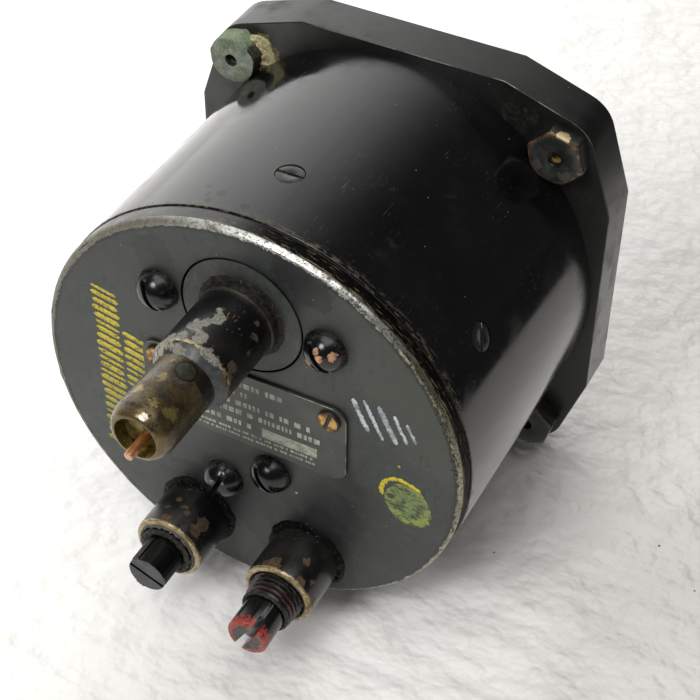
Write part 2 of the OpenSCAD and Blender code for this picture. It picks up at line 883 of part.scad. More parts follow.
module link_of(t) {
    a = tail_pin(t);
    b = tip_pin(t);
    color(STEEL) plate(link_y[0], link_y[1]) difference() {
        union() {
            translate(a) circle(r = 1.3);
            translate(b) circle(r = 1.4);
            bar(a, b, 1.4);
        }
        translate(a) circle(r = link_pin_r + run_gap);
        translate(b) circle(r = link_pin_r + 0.12);
    }
}

// PRESSURE ELEMENTS

// A stretch of flattened tube wall, from angle a over wrap degrees
module coil_section(grow) {
    w = tube_w + 2 * grow;
    d = tube_t + 2 * grow;
    square([d, w - d], center = true);
    for (s = [-1, 1]) translate([0, s * (w - d) / 2]) circle(r = d / 2);
}

module coil(t, grow, lead) {
    translate([t[1][0], tube_y, t[1][1]]) rotate([90, 0, 0]) rotate([0, 0, t[2] - lead])
        rotate_extrude(angle = t[3] + 2 * lead) translate([coil_r, 0]) difference() {
            coil_section(grow);
            if (grow == 0) coil_section(-tube_wall);
        }
}

module bourdon_tube_of(t) {
    color("#a9834a") coil(t, 0, 0);
}

module tip_block_of(t) {
    a = t[2] - block_lead;
    color(BRASS) {
        difference() {
            plate(tube_y - block_size[2] / 2, tube_y + block_size[2] / 2)
                translate(t[1]) rotate(a) translate([coil_r, 0])
                    square([block_size[0], block_size[1]], center = true);
            coil([t[0], t[1], t[2], 40], pocket_gap, 0.4);
        }
        rod(tip_pin(t), link_pin_r, link_y[0] - 0.3, tube_y - tube_w / 2 - pocket_gap - 0.1);
    }
}

module socket_body(p, r, t) {
    difference() {
        rod(p, r, socket_start, clamp[1]);
        coil([t[0], t[1], t[2] + t[3] - 60, 60], pocket_gap, 0.4);
    }
}

module upper_socket() {
    root = upper_train[1] + polar(coil_r, upper_train[2] + upper_train[3]);
    color(BRASS) difference() {
        socket_body(upper_at, upper_socket_r, upper_train);
        rod(capillary_at, capillary_r + seat_gap, capillary_start, clamp[1] + 1);
        rod(capillary_at, 0.5, element_mid, capillary_start + 1);
        translate([capillary_at[0], element_mid, capillary_at[1]])
            cylinder(h = root[1] - capillary_at[1], r = 0.5);
    }
}

module lower_socket(p) {
    root = lower_train[1] + polar(coil_r, lower_train[2] + lower_train[3] + 1);
    color(BRASS) difference() {
        socket_body(p, lower_socket_r, lower_train);
        rod(p, passage_r, element_mid, clamp[1] + 1);
        facing(p, element_mid, angle_of(root - p)) rotate([0, 90, 0]) cylinder(h = norm(root - p), r = 0.7);
    }
}

module left_socket() {
    lower_socket(left_port_at);
}

module right_socket() {
    mirror([1, 0, 0]) lower_socket([-right_port_at[0], right_port_at[1]]);
}

module upper_bourdon_tube() {
    bourdon_tube_of(upper_train);
}

module left_bourdon_tube() {
    bourdon_tube_of(lower_train);
}

module right_bourdon_tube() {
    mirror([1, 0, 0]) bourdon_tube_of(lower_train);
}

module upper_tip_block() {
    tip_block_of(upper_train);
}

module left_tip_block() {
    tip_block_of(lower_train);
}

module right_tip_block() {
    mirror([1, 0, 0]) tip_block_of(lower_train);
}

module upper_link() {
    link_of(upper_train);
}

module left_link() {
    link_of(lower_train);
}

module right_link() {
    mirror([1, 0, 0]) link_of(lower_train);
}

module upper_sector() {
    sector_of(upper_train);
}

module left_sector() {
    sector_of(lower_train);
}

module right_sector() {
    mirror([1, 0, 0]) sector_of(lower_train);
}

module upper_sector_arbor() {
    sector_arbor_of(upper_train);
}

module left_sector_arbor() {
    sector_arbor_of(lower_train);
}

module right_sector_arbor() {
    mirror([1, 0, 0]) sector_arbor_of(lower_train);
}

module upper_pinion_arbor() {
    pinion_arbor_of(upper_train);
}

module left_pinion_arbor() {
    pinion_arbor_of(lower_train);
}

module right_pinion_arbor() {
    mirror([1, 0, 0]) pinion_arbor_of(lower_train);
}

module upper_pointer() {
    pointer_of(upper_train, upper_pointer_len);
}

module left_pointer() {
    pointer_of(lower_train, lower_pointer_len);
}

module right_pointer() {
    mirror([1, 0, 0]) pointer_of(lower_train, lower_pointer_len);
}

module upper_hairspring() {
    hairspring_of(upper_train);
}

module left_hairspring() {
    hairspring_of(lower_train);
}

module right_hairspring() {
    mirror([1, 0, 0]) hairspring_of(lower_train);
}

case_shell();
mounting_nuts();
case_side_screws();
glass_retaining_ring();
cover_glass();
glass_gasket();
dial_plate();
dial_screws();
dial_posts();
rear_cover();
cover_gasket();
upper_cover_screws();
lower_cover_screws();
name_plate();
name_plate_screws();
upper_clamp_bar();
lower_clamp_plate();
frame_posts();
frame_screws();
movement_pillars();
front_movement_plate();
rear_movement_plate();
upper_fitting();
upper_sleeve();
sleeve_plug();
sleeve_pin();
capillary_tube();
left_port();
right_port();
left_plug();
right_plug();
left_plug_washer();
right_plug_washer();
upper_sector();
left_sector();
right_sector();
upper_sector_arbor();
left_sector_arbor();
right_sector_arbor();
upper_pinion_arbor();
left_pinion_arbor();
right_pinion_arbor();
upper_pointer();
left_pointer();
right_pointer();
upper_hairspring();
left_hairspring();
right_hairspring();
upper_link();
left_link();
right_link();
upper_tip_block();
left_tip_block();
right_tip_block();
upper_bourdon_tube();
left_bourdon_tube();
right_bourdon_tube();
upper_socket();
left_socket();
right_socket();
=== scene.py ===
import math
import random

import bmesh
import bpy
from bpy.props import FloatProperty, FloatVectorProperty, IntProperty, PointerProperty
from mathutils import Matrix, Vector, noise


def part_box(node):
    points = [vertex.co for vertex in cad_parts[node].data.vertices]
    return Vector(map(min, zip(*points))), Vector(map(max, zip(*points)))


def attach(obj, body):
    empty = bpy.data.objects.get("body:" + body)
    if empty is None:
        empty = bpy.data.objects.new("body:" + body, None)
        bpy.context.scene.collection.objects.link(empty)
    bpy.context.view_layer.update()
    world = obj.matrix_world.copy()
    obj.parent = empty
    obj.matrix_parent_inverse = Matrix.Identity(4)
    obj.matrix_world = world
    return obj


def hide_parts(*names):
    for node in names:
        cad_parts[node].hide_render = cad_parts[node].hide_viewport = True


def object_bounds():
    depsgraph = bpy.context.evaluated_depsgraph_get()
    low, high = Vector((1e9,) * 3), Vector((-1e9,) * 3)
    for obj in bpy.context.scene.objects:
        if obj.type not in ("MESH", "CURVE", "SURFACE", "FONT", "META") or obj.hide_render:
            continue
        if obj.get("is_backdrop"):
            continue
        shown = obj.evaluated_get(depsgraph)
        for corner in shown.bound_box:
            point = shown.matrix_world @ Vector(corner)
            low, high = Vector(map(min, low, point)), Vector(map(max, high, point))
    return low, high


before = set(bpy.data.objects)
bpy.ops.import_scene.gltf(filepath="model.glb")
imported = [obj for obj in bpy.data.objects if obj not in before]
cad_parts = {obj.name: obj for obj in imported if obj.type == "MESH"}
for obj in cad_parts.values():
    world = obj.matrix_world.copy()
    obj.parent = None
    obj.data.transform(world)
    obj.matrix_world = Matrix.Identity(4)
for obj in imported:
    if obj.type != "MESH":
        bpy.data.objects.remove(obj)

bl_info = {
    "name": "Triple Engine Gauge",
    "version": (1, 0, 0),
    "blender": (4, 5, 0),
    "location": "View3D > Sidebar > Gauge",
    "description": "Builds the visible pieces and finishes of a triple engine gauge",
    "category": "Object",
}

MM = 0.001
OUT = Vector((0, 1, 0))  # the way the rear cover faces

# Places of the part's source, in millimetres: x and z in the dial plane, y along the gauge
FLANGE_T = 9.06
BARREL_R = 39.7
COVER_FACE = 63.16
PLATE_FACE = 63.76
DIAL_FACE = 8.0
MOUNTS = [(31.43, 31.43), (-31.43, 31.43), (-31.43, -31.43), (31.43, -31.43)]
SIDE_SCREW_Y = 46.5
SIDE_ANGLES = [30, 90, 150, 210, 270, 330]
UPPER_AT = (-0.22, 22.87)
SLEEVE_PIN = (-2.2, 82.1, 27.8)
LEFT_PORT = (-11.4, -28.1)
RIGHT_PORT = (10.75, -28.1)
UPPER_SCREWS = [(15.3, 22.3, 64.8), (-15.4, 22.3, 52.8)]
LOWER_SCREWS = [(4.9, -16.8, 110.6), (-4.7, -10.8, 50)]
PLATE_SCREWS = [(-16.3, 7.9, 107), (16.3, 7.9, 107)]
DIAL_SCREWS = [(-30.5, 8, 20), (30.5, 8, 20)]
PIVOTS = [(0, 8), (-14.5, -11), (14.5, -11)]
POINTER_REST = [150, 240, 300]


def tone(red, green, blue):
    """The linear colour of a picture's 0 to 255 values."""
    def linear(v):
        v /= 255
        return v / 12.92 if v <= 0.04045 else ((v + 0.055) / 1.055) ** 2.4
    return (linear(red), linear(green), linear(blue), 1.0)


def colour(label, note, value):
    return FloatVectorProperty(name=label, description=note, subtype="COLOR", size=4,
                               min=0, max=1, default=value)


def length(label, note, value):
    return FloatProperty(name=label, description=note, default=value * MM,
                         subtype="DISTANCE", unit="LENGTH", precision=5)


# Settings

class GaugeCaseSettings(bpy.types.PropertyGroup):
    """Sizes and colours of the case and the rear cover"""
    edge: length("Edge rounding", "Rounding of the moulded edges", 0.2)
    barrel: colour("Barrel", "Glossy moulded black of the barrel", tone(9, 9, 9))
    flange: colour("Flange", "Duller black of the flange", tone(26, 26, 25))
    cover: colour("Rear cover", "Dark grey paint of the rear cover", tone(45, 50, 48))
    # The brightest rim tone, laid where the window's highlight falls: partly a painted highlight.
    rim: colour("Rim", "Bare metal of the cover's worn rim", tone(226, 226, 221))
    plate: colour("Data plate", "Ground of the data plate", tone(66, 68, 65))
    marks: colour("Plate marks", "Pale marks of the data plate", tone(194, 196, 180))


class GaugeFittingSettings(bpy.types.PropertyGroup):
    """Sizes and colours of the fitting, the ports and the fasteners"""
    enamel: colour("Enamel", "Black enamel of the fitting and the ports", tone(14, 14, 14))
    chip: colour("Chips", "Oxidised brass where enamel has gone", tone(96, 76, 56))
    primer: colour("Primer", "Pale primer under the enamel", tone(152, 150, 140))
    brass: colour("Brass", "Clean brass", tone(196, 160, 96))
    patina: colour("Patina", "Brown patina of the brass sleeve", tone(86, 68, 44))
    copper: colour("Copper", "Capillary tube", tone(192, 128, 74))
    verdigris: colour("Verdigris", "Green crust of one mounting nut", tone(156, 164, 150))
    red: colour("Red paint", "Paint on the loose plug's end", tone(176, 66, 54))
    pitch: length("Thread pitch", "Pitch of the plugs' pipe thread", 0.9407)
    thread_depth: length("Thread depth", "Depth of the plugs' thread", 0.5)


class GaugeMarkSettings(bpy.types.PropertyGroup):
    """Paint marks on the rear cover"""
    yellow: colour("Yellow paint", "Rows of paint strokes", tone(232, 212, 56))
    white: colour("White paint", "Brush strokes", tone(226, 230, 232))
    green: colour("Thin paint", "Thin green part of the paint dab", tone(120, 140, 80))
    thickness: length("Paint thickness", "How far the paint stands off the cover", 0.03)


class GaugeDialSettings(bpy.types.PropertyGroup):
    """Sizes and colours of the dial"""
    ground: colour("Dial", "Matt black of the dial", tone(22, 22, 22))
    paint: colour("Markings", "Aged luminous paint", tone(214, 208, 172))
    upper_numeral: length("Upper numerals", "Height of the upper numerals", 3.0)
    lower_numeral: length("Lower numerals", "Height of the lower numerals", 2.4)
    minor_width: length("Minor marks", "Width of the minor scale marks", 0.28)
    major_width: length("Major marks", "Width of the major scale marks", 0.6)


class GaugeStageSettings(bpy.types.PropertyGroup):
    """Camera, lamps and floor"""
    lens: FloatProperty(name="Lens", description="Focal length in millimetres", default=87.09)
    floor: colour("Floor", "Pale floor", tone(217, 214, 209))
    dark: FloatProperty(name="Dark side", description="Light from the dark side of the room",
                        default=0.07, min=0)
    window: FloatProperty(name="Window", description="Brightness of the window side",
                          default=2.05, min=0)
    seed: IntProperty(name="Seed", description="Seed of the random marks", default=7)


# Node trees

class Value:
    """A socket that takes part in sums: each operator adds its Math node."""

    def __init__(self, nodes, socket):
        self.nodes, self.socket = nodes, socket

    def output(self, key):
        return Value(self.nodes, self.socket.node.outputs[key])

    def math(self, operation, *terms):
        return self.nodes.node("ShaderNodeMath", {"operation": operation}, dict(enumerate(terms)))

    def __add__(self, other):
        return self.math("ADD", self, other)

    __radd__ = __add__

    def __sub__(self, other):
        return self.math("SUBTRACT", self, other)

    def __rsub__(self, other):
        return self.math("SUBTRACT", other, self)

    def __mul__(self, other):
        return self.math("MULTIPLY", self, other)

    __rmul__ = __mul__

    def __truediv__(self, other):
        return self.math("DIVIDE", self, other)

    def __pow__(self, other):
        return self.math("POWER", self, other)

    def __gt__(self, other):
        return self.math("GREATER_THAN", self, other)

    def __lt__(self, other):
        return self.math("LESS_THAN", self, other)

    def either(self, other):
        return self.math("MAXIMUM", self, other)

    def both(self, other):
        return self.math("MINIMUM", self, other)

    def step(self, start, end):
        """0 up to start and 1 from end on, smooth between them; start may be the larger."""
        return self.nodes.node(
            "ShaderNodeMapRange", {"interpolation_type": "SMOOTHSTEP"},
            {"Value": self, "From Min": start, "From Max": end})


class Nodes:
    """Adds nodes to one tree."""

    def __init__(self, tree):
        self.tree = tree

    def node(self, kind, settings=None, inputs=None, out=0):
        made = self.tree.nodes.new(kind)
        for key, value in (settings or {}).items():
            setattr(made, key, value)
        for key, value in (inputs or {}).items():
            if isinstance(value, Value):
                self.tree.links.new(value.socket, made.inputs[key])
            else:
                made.inputs[key].default_value = value
        return Value(self, made.outputs[out]) if len(made.outputs) else None


class Finish(Nodes):
    """A material whose patterns are placed in millimetres of the gauge's frame."""

    def __init__(self, name):
        self.material = bpy.data.materials.new(name)
        self.material.use_nodes = True
        super().__init__(self.material.node_tree)
        self.tree.nodes.clear()
        place = self.node("ShaderNodeTexCoord", out="Object")
        self.mm = self.node("ShaderNodeVectorMath", {"operation": "SCALE"},
                            {0: place, "Scale": 1 / MM})
        self.x = self.node("ShaderNodeSeparateXYZ", None, {0: self.mm})
        self.y, self.z = self.x.output(1), self.x.output(2)
        self.ny = self.node("ShaderNodeSeparateXYZ", None, {0: place.output("Normal")}, out=1)

    def noise(self, size, detail=2.0, rough=0.5, stretch=(1, 1, 1), shift=0.0):
        """Noise around 0.5 with patches of that size, in millimetres."""
        vector = self.mm
        if stretch != (1, 1, 1) or shift:
            vector = self.node("ShaderNodeMapping", None,
                               {"Vector": vector, "Scale": stretch, "Location": (shift,) * 3})
        return self.node("ShaderNodeTexNoise", None,
                         {"Vector": vector, "Scale": 1 / size, "Detail": detail,
                          "Roughness": rough})

    def patches(self, size, level, detail=3.0, rough=0.55, soft=0.03, **more):
        """Ragged patches where the noise is above level."""
        return self.noise(size, detail, rough, **more).step(level, level + soft)

    def specks(self, spacing, share, radius=0.16):
        """Small dots, one in each cell of that spacing, in that share of the cells."""
        cell = self.node("ShaderNodeTexVoronoi", None, {"Vector": self.mm, "Scale": 1 / spacing})
        pick = self.node("ShaderNodeSeparateColor", None, {0: cell.output("Color")})
        return cell.step(radius, radius * 0.6) * (pick > 1 - share)

    def near(self, point, radius, ragged=0.0, size=1.0):
        """1 within radius of the point, with a ragged edge."""
        far = self.node("ShaderNodeVectorMath", {"operation": "DISTANCE"},
                        {0: self.mm, 1: point}, out="Value")
        if ragged:
            far = far + (self.noise(size, 5.0, 0.7) - 0.5) * ragged
        return far.step(radius, radius - 0.1)

    def blobs(self, places, ragged=2.0, size=1.2, soft=0.1):
        """Ragged patches at (x, y, z, radius) places, with one noise for all."""
        edge = (self.noise(size, 5.0, 0.72) - 0.5) * ragged
        found = None
        for x, y, z, radius in places:
            far = self.node("ShaderNodeVectorMath", {"operation": "DISTANCE"},
                            {0: self.mm, 1: (x, y, z)}, out="Value")
            one = (far + edge).step(radius, radius - soft)
            found = one if found is None else found.either(one)
        return found

    def radius(self, at):
        """Distance from the axis through a place of the dial plane."""
        return ((self.x - at[0]) ** 2 + (self.z - at[1]) ** 2) ** 0.5

    def blend(self, share, first, second):
        return self.node("ShaderNodeMix", {"data_type": "RGBA"}, {0: share, 6: first, 7: second},
                         out=2)

    def layers(self, ground, *coats):
        """Lays (share, colour) coats over a ground."""
        for share, coat in coats:
            ground = self.blend(share, ground, coat)
        return ground

    def surface(self, base, rough, metal=0.0, height=None, depth=0.0, **fixed):
        """Ends the material in its shader. height is a relief of that depth in millimetres."""
        inputs = {"Base Color": base, "Roughness": rough, "Metallic": metal, **fixed}
        if height is not None:
            inputs["Normal"] = self.node("ShaderNodeBump", None,
                                         {"Height": height, "Distance": depth * MM})
        shader = self.node("ShaderNodeBsdfPrincipled", None, inputs)
        self.node("ShaderNodeOutputMaterial", None, {0: shader})
        return self.material


class Shapes(Nodes):
    """A Geometry Nodes tree with named inputs."""

    def __init__(self, name, **inputs):
        super().__init__(bpy.data.node_groups.new(name, "GeometryNodeTree"))
        face = self.tree.interface
        face.new_socket("Geometry", in_out="INPUT", socket_type="NodeSocketGeometry")
        for label, (kind, value) in inputs.items():
            made = face.new_socket(label.replace("_", " "), in_out="INPUT",
                                   socket_type="NodeSocket" + kind)
            if value is not None:
                made.default_value = value
        face.new_socket("Geometry", in_out="OUTPUT", socket_type="NodeSocketGeometry")
        self.source = self.node("NodeGroupInput")

    def given(self, label):
        return self.source.output(label)

    def end(self, geometry, material):
        real = self.node("GeometryNodeRealizeInstances", None, {0: geometry})
        done = self.node("GeometryNodeSetMaterial", None, {"Geometry": real, "Material": material})
        self.node("NodeGroupOutput", None, {0: done})

    def grow(self, base, **values):
        """The mesh that the tree makes from the base object, as a bmesh."""
        modifier = base.modifiers.new(self.tree.name, "NODES")
        modifier.node_group = self.tree
        for item in self.tree.interface.items_tree:
            if item.in_out == "INPUT" and item.name.replace(" ", "_") in values:
                modifier[item.identifier] = values[item.name.replace(" ", "_")]
        grown = as_bmesh(base)
        bpy.data.objects.remove(base)
        return grown


# Meshes

def as_bmesh(source):
    """The evaluated mesh of an object, as a bmesh."""
    graph = bpy.context.evaluated_depsgraph_get()
    data = bpy.data.meshes.new_from_object(source.evaluated_get(graph), depsgraph=graph)
    mesh = bmesh.new()
    mesh.from_mesh(data)
    bpy.data.meshes.remove(data)
    return mesh


def as_object(name, mesh):
    """A new object with that bmesh in it."""
    data = bpy.data.meshes.new(name)
    mesh.to_mesh(data)
    mesh.free()
    made = bpy.data.objects.new(name, data)
    bpy.context.scene.collection.objects.link(made)
    return made


def welded(node):
    """A welded copy of a CAD node's mesh, with its flat faces made whole."""
    mesh = bmesh.new()
    mesh.from_mesh(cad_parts[node].data)
    bmesh.ops.remove_doubles(mesh, verts=mesh.verts, dist=1e-6)
    bmesh.ops.dissolve_limit(mesh, angle_limit=math.radians(0.3), verts=mesh.verts,
                             edges=mesh.edges)
    return mesh


def lathe(profile, steps=96):
    """A solid turned round Z from (radius, height) points, in millimetres.
    A point may be a function that gives them for an angle. An end on the axis is closed there."""
    mesh = bmesh.new()
    rings = []
    for point in profile:
        if not callable(point) and point[0] == 0:
            rings.append([mesh.verts.new((0, 0, point[1] * MM))])
            continue
        ring = []
        for i in range(steps):
            angle = 2 * math.pi * i / steps
            r, h = point(angle) if callable(point) else point
            x, y = r * MM * math.cos(angle), r * MM * math.sin(angle)
            ring.append(mesh.verts.new((x, y, h * MM)))
        rings.append(ring)
    closed = len(rings[0]) > 1 and len(rings[-1]) > 1
    pairs = list(zip(rings, rings[1:])) + ([(rings[-1], rings[0])] if closed else [])
    for low, high in pairs:
        for i in range(steps):
            j = (i + 1) % steps
            corners = [low[i % len(low)], low[j % len(low)], high[j % len(high)],
                       high[i % len(high)]]
            mesh.faces.new(list(dict.fromkeys(corners)))
    bmesh.ops.recalc_face_normals(mesh, faces=mesh.faces)
    return mesh


def box(size, middle=(0, 0, 0)):
    """A box in millimetres."""
    mesh = bmesh.new()
    bmesh.ops.create_cube(mesh, size=MM)
    place = Matrix.Translation(Vector(middle) * MM)
    bmesh.ops.transform(mesh, matrix=place @ Matrix.Diagonal((*size, 1)), verts=mesh.verts)
    return mesh


def cut(solid, *tools):
    """A bmesh less the tool bmeshes."""
    body = as_object("cut_body", solid)
    helpers = []
    for tool in tools:
        helper = as_object("cut_tool", tool)
        modifier = body.modifiers.new("Cut", "BOOLEAN")
        modifier.operation, modifier.solver, modifier.object = "DIFFERENCE", "EXACT", helper
        helpers.append(helper)
    mesh = as_bmesh(body)
    for spent in [body, *helpers]:
        bpy.data.objects.remove(spent)
    return mesh


def moved(mesh, matrix):
    bmesh.ops.transform(mesh, matrix=matrix, verts=mesh.verts)
    return mesh


def joined(*meshes):
    """One bmesh with all of them in it."""
    whole = bmesh.new()
    for mesh in meshes:
        data = bpy.data.meshes.new("joined")
        mesh.to_mesh(data)
        mesh.free()
        whole.from_mesh(data)
        bpy.data.meshes.remove(data)
    return whole


def turned_out(x, z, y=0.0, turn=0.0):
    """Stands something made round Z on the dial plane at x, z, facing out."""
    upright = Matrix.Rotation(math.radians(-90), 4, "X")
    return Matrix.Translation(Vector((x, y, z)) * MM) @ upright @ Matrix.Rotation(
        math.radians(turn), 4, "Z")


def rounded(mesh, width, segments=2, angle=30, keep=None):
    """The mesh with its sharp edges rounded by width metres, its flat faces kept flat in shading.
    keep says, from the middle of an edge in millimetres, whether that edge is rounded."""
    for face in mesh.faces:
        face.smooth = True
    weight = mesh.edges.layers.float.new("bevel_weight_edge")
    for edge in mesh.edges:
        edge.smooth = edge.calc_face_angle(math.pi) < math.radians(angle)
        middle = (edge.verts[0].co + edge.verts[1].co) / 2 / MM
        edge[weight] = float(not edge.smooth and (keep is None or keep(middle)))
    made = as_object("rounded", mesh)
    bevel = made.modifiers.new("Rounding", "BEVEL")
    bevel.width, bevel.segments, bevel.limit_method = width, segments, "WEIGHT"
    bevel.use_clamp_overlap = keep is None
    bevel.harden_normals = True
    bevel.miter_outer = "MITER_ARC"
    return made


def piece(name, made, material, body, slot, *replaced, sharp=32):
    """Finishes a piece from a bmesh or an object, and lets it ride in place of CAD nodes."""
    if isinstance(made, bmesh.types.BMesh):
        for face in made.faces:
            face.smooth = True
        for edge in made.edges:
            edge.smooth = edge.calc_face_angle(math.pi) < math.radians(sharp)
        made = as_object(name, made)
    else:
        graph = bpy.context.evaluated_depsgraph_get()
        data = bpy.data.meshes.new_from_object(made.evaluated_get(graph),
                                               preserve_all_data_layers=True, depsgraph=graph)
        made.modifiers.clear()
        made.data = data
        made.name = name
    made.data.name = name
    made.data.materials.clear()
    made.data.materials.append(material)
    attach(made, body)
    if replaced:
        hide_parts(*replaced)
    return made


def repaint(material, *nodes):
    """Gives CAD nodes that stay a better material."""
    for node in nodes:
        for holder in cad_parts[node].material_slots:
            holder.material = material


def bare(name):
    """An empty mesh object for a tree that makes all of its geometry."""
    made = bpy.data.objects.new(name, bpy.data.meshes.new(name))
    bpy.context.scene.collection.objects.link(made)
    return made


def places_object(name, places):
    """A mesh of points with the axis and turn that a fastener takes at each.
    places are (x, y, z, axis, slot direction), in millimetres."""
    data = bpy.data.meshes.new(name)
    data.from_pydata([Vector(p[:3]) * MM for p in places], [], [])
    data.attributes.new("axis", "FLOAT_VECTOR", "POINT")
    data.attributes.new("turn", "FLOAT", "POINT")
    for i, (*_, way, slot_way) in enumerate(places):
        local = Vector((0, 0, 1)).rotation_difference(way).inverted() @ slot_way
        data.attributes["axis"].data[i].vector = way
        data.attributes["turn"].data[i].value = math.atan2(local.y, local.x)
    made = bpy.data.objects.new(name, data)
    bpy.context.scene.collection.objects.link(made)
    return made


def fasteners_tree(material):
    """Stands a template on each point, along its axis and turned to its slot."""
    tree = Shapes("Fasteners", Template=("Object", None), Size=("Float", 1.0))
    template = tree.node("GeometryNodeObjectInfo", None, {"Object": tree.given("Template")},
                         out="Geometry")
    axis = tree.node("GeometryNodeInputNamedAttribute", {"data_type": "FLOAT_VECTOR"},
                     {"Name": "axis"})
    turn = tree.node("GeometryNodeInputNamedAttribute", {"data_type": "FLOAT"}, {"Name": "turn"})
    upright = tree.node("FunctionNodeAlignRotationToVector", {"axis": "Z"}, {"Vector": axis})
    spin = tree.node("FunctionNodeAxisAngleToRotation", None, {"Axis": (0, 0, 1), "Angle": turn})
    facing = tree.node("FunctionNodeRotateRotation", {"rotation_space": "LOCAL"},
                       {0: upright, 1: spin})
    size = tree.node("ShaderNodeCombineXYZ", None, dict.fromkeys((0, 1, 2), tree.given("Size")))
    stood = tree.node("GeometryNodeInstanceOnPoints", None,
                      {"Points": tree.given("Geometry"), "Instance": template,
                       "Rotation": facing, "Scale": size})
    tree.end(stood, material)
    return tree


def fasteners(name, template, places, material, body, slot, *replaced, change=None):
    """Makes like fasteners from one template bmesh and their places. change may alter the mesh
    that they make."""
    pattern = rounded(template, 0.08 * MM, 2)
    pattern_mesh = as_object(name + "_pattern", as_bmesh(pattern))
    grown = fasteners_tree(material).grow(places_object(name, places), Template=pattern_mesh)
    for spent in (pattern, pattern_mesh):
        bpy.data.objects.remove(spent)
    if change:
        change(grown)
    return piece(name, grown, material, body, slot, *replaced, sharp=40)


def corroded(mesh):
    """Rounds, swells and pits the nut of the green corner."""
    def green(v):
        return min(v.co.x, v.co.z) > 0 and v.co.y > 9 * MM

    long = [e for e in mesh.edges if green(e.verts[0]) and green(e.verts[1])
            and e.calc_length() > 1.2 * MM]
    bmesh.ops.subdivide_edges(mesh, edges=long, cuts=6, use_grid_fill=True)
    mesh.normal_update()
    outer = []
    for v in mesh.verts:
        spot = v.co / MM
        inward = Vector((MOUNTS[0][0] - spot.x, 0, MOUNTS[0][1] - spot.z))
        if green(v) and inward.length > 1.6:
            swell = noise.noise(spot * 0.9) * 0.2 + noise.noise(spot * 2.3) * 0.12 - 0.12
            far_side = min(1, max(0, (spot.x - 29) / 4))
            share = far_side + (1 - far_side) * (spot.y - FLANGE_T) / 3.66
            move = inward.normalized() * max(0, inward.length - 4.5) * 0.8 * share
            if spot.y > 9.3:
                move += v.normal * swell
                outer.append(v)
            v.co += move * MM
    for _ in range(3):
        bmesh.ops.smooth_vert(mesh, verts=outer, factor=0.5, use_axis_x=True, use_axis_y=True,
                              use_axis_z=True)


def crust_ring(inner, outer, low, high, seed, fillet=False, window=None):
    """A ring of dried crust round Z with a lumpy top, level over its width, or falling outward as
    a fillet. window is the (middle, half width) in degrees of the part where it stands up."""
    def top(share):
        def at(angle):
            turn = Vector((math.cos(angle), math.sin(angle), 0))
            wide = 1 + 0.35 * noise.noise(turn * inner * 0.5 + Vector((0, 0, seed))) * fillet
            if window:
                off = abs((math.degrees(angle) - window[0] + 180) % 360 - 180)
                wide *= min(1, max(0.02, (window[1] - off) / 36))
            r = inner + (outer - inner) * share * wide
            spot = turn * r + Vector((0, 0, seed))
            bump = noise.noise(spot * 1.3) * 0.5 + noise.noise(spot * 3.1) * 0.35
            shape = (1 - share) ** 0.7 if fillet else 0.55 + 0.45 * math.sin(math.pi * share)
            lift = (high - low) * shape * (0.85 + 0.9 * bump)
            return r, min(high, low + max(0.08, lift))
        return at
    return lathe([(inner, low), *(top(i / 6) for i in range(7)),
                  lambda angle: (top(1)(angle)[0], low)], 160)


def flat_way(angle):
    """A direction in the dial plane."""
    a = math.radians(angle)
    return Vector((math.cos(a), 0, math.sin(a)))


def screw(head, shank_r, shank_len, slot_width, slot_depth, top, pitch=0.8):
    """A slotted screw round Z with its seat at 0: head is its (radius, height) profile from the
    middle out and down to the seat."""
    grooves = []
    steps = int(shank_len / pitch)
    for i in range(steps):
        low = -shank_len + i * pitch
        grooves += [(shank_r - 0.3, low), (shank_r, low + pitch * 0.45),
                    (shank_r, low + pitch * 0.55)]
    profile = [(0, -shank_len)] + grooves + [(shank_r - 0.3, -0.05), *reversed(head)]
    solid = lathe(profile, 64)
    return cut(solid, box((30, slot_width, 2 * slot_depth), (0, 0, top)))


# Finishes

def plain(name, first, second, rough, metal=0.0, grain=6.0, depth=0.004, stretch=(1, 1, 1)):
    """A material of two mixed tones with a fine grain, for pieces with no marks of their own."""
    f = Finish(name)
    wide = f.noise(grain, 4.0, 0.6, stretch)
    fine = f.noise(grain * 0.12, 3.0, 0.6, stretch, shift=31)
    return f.surface(f.blend(wide.step(0.35, 0.65), first, second),
                     rough + (fine - 0.5) * 0.3, metal, fine, depth)


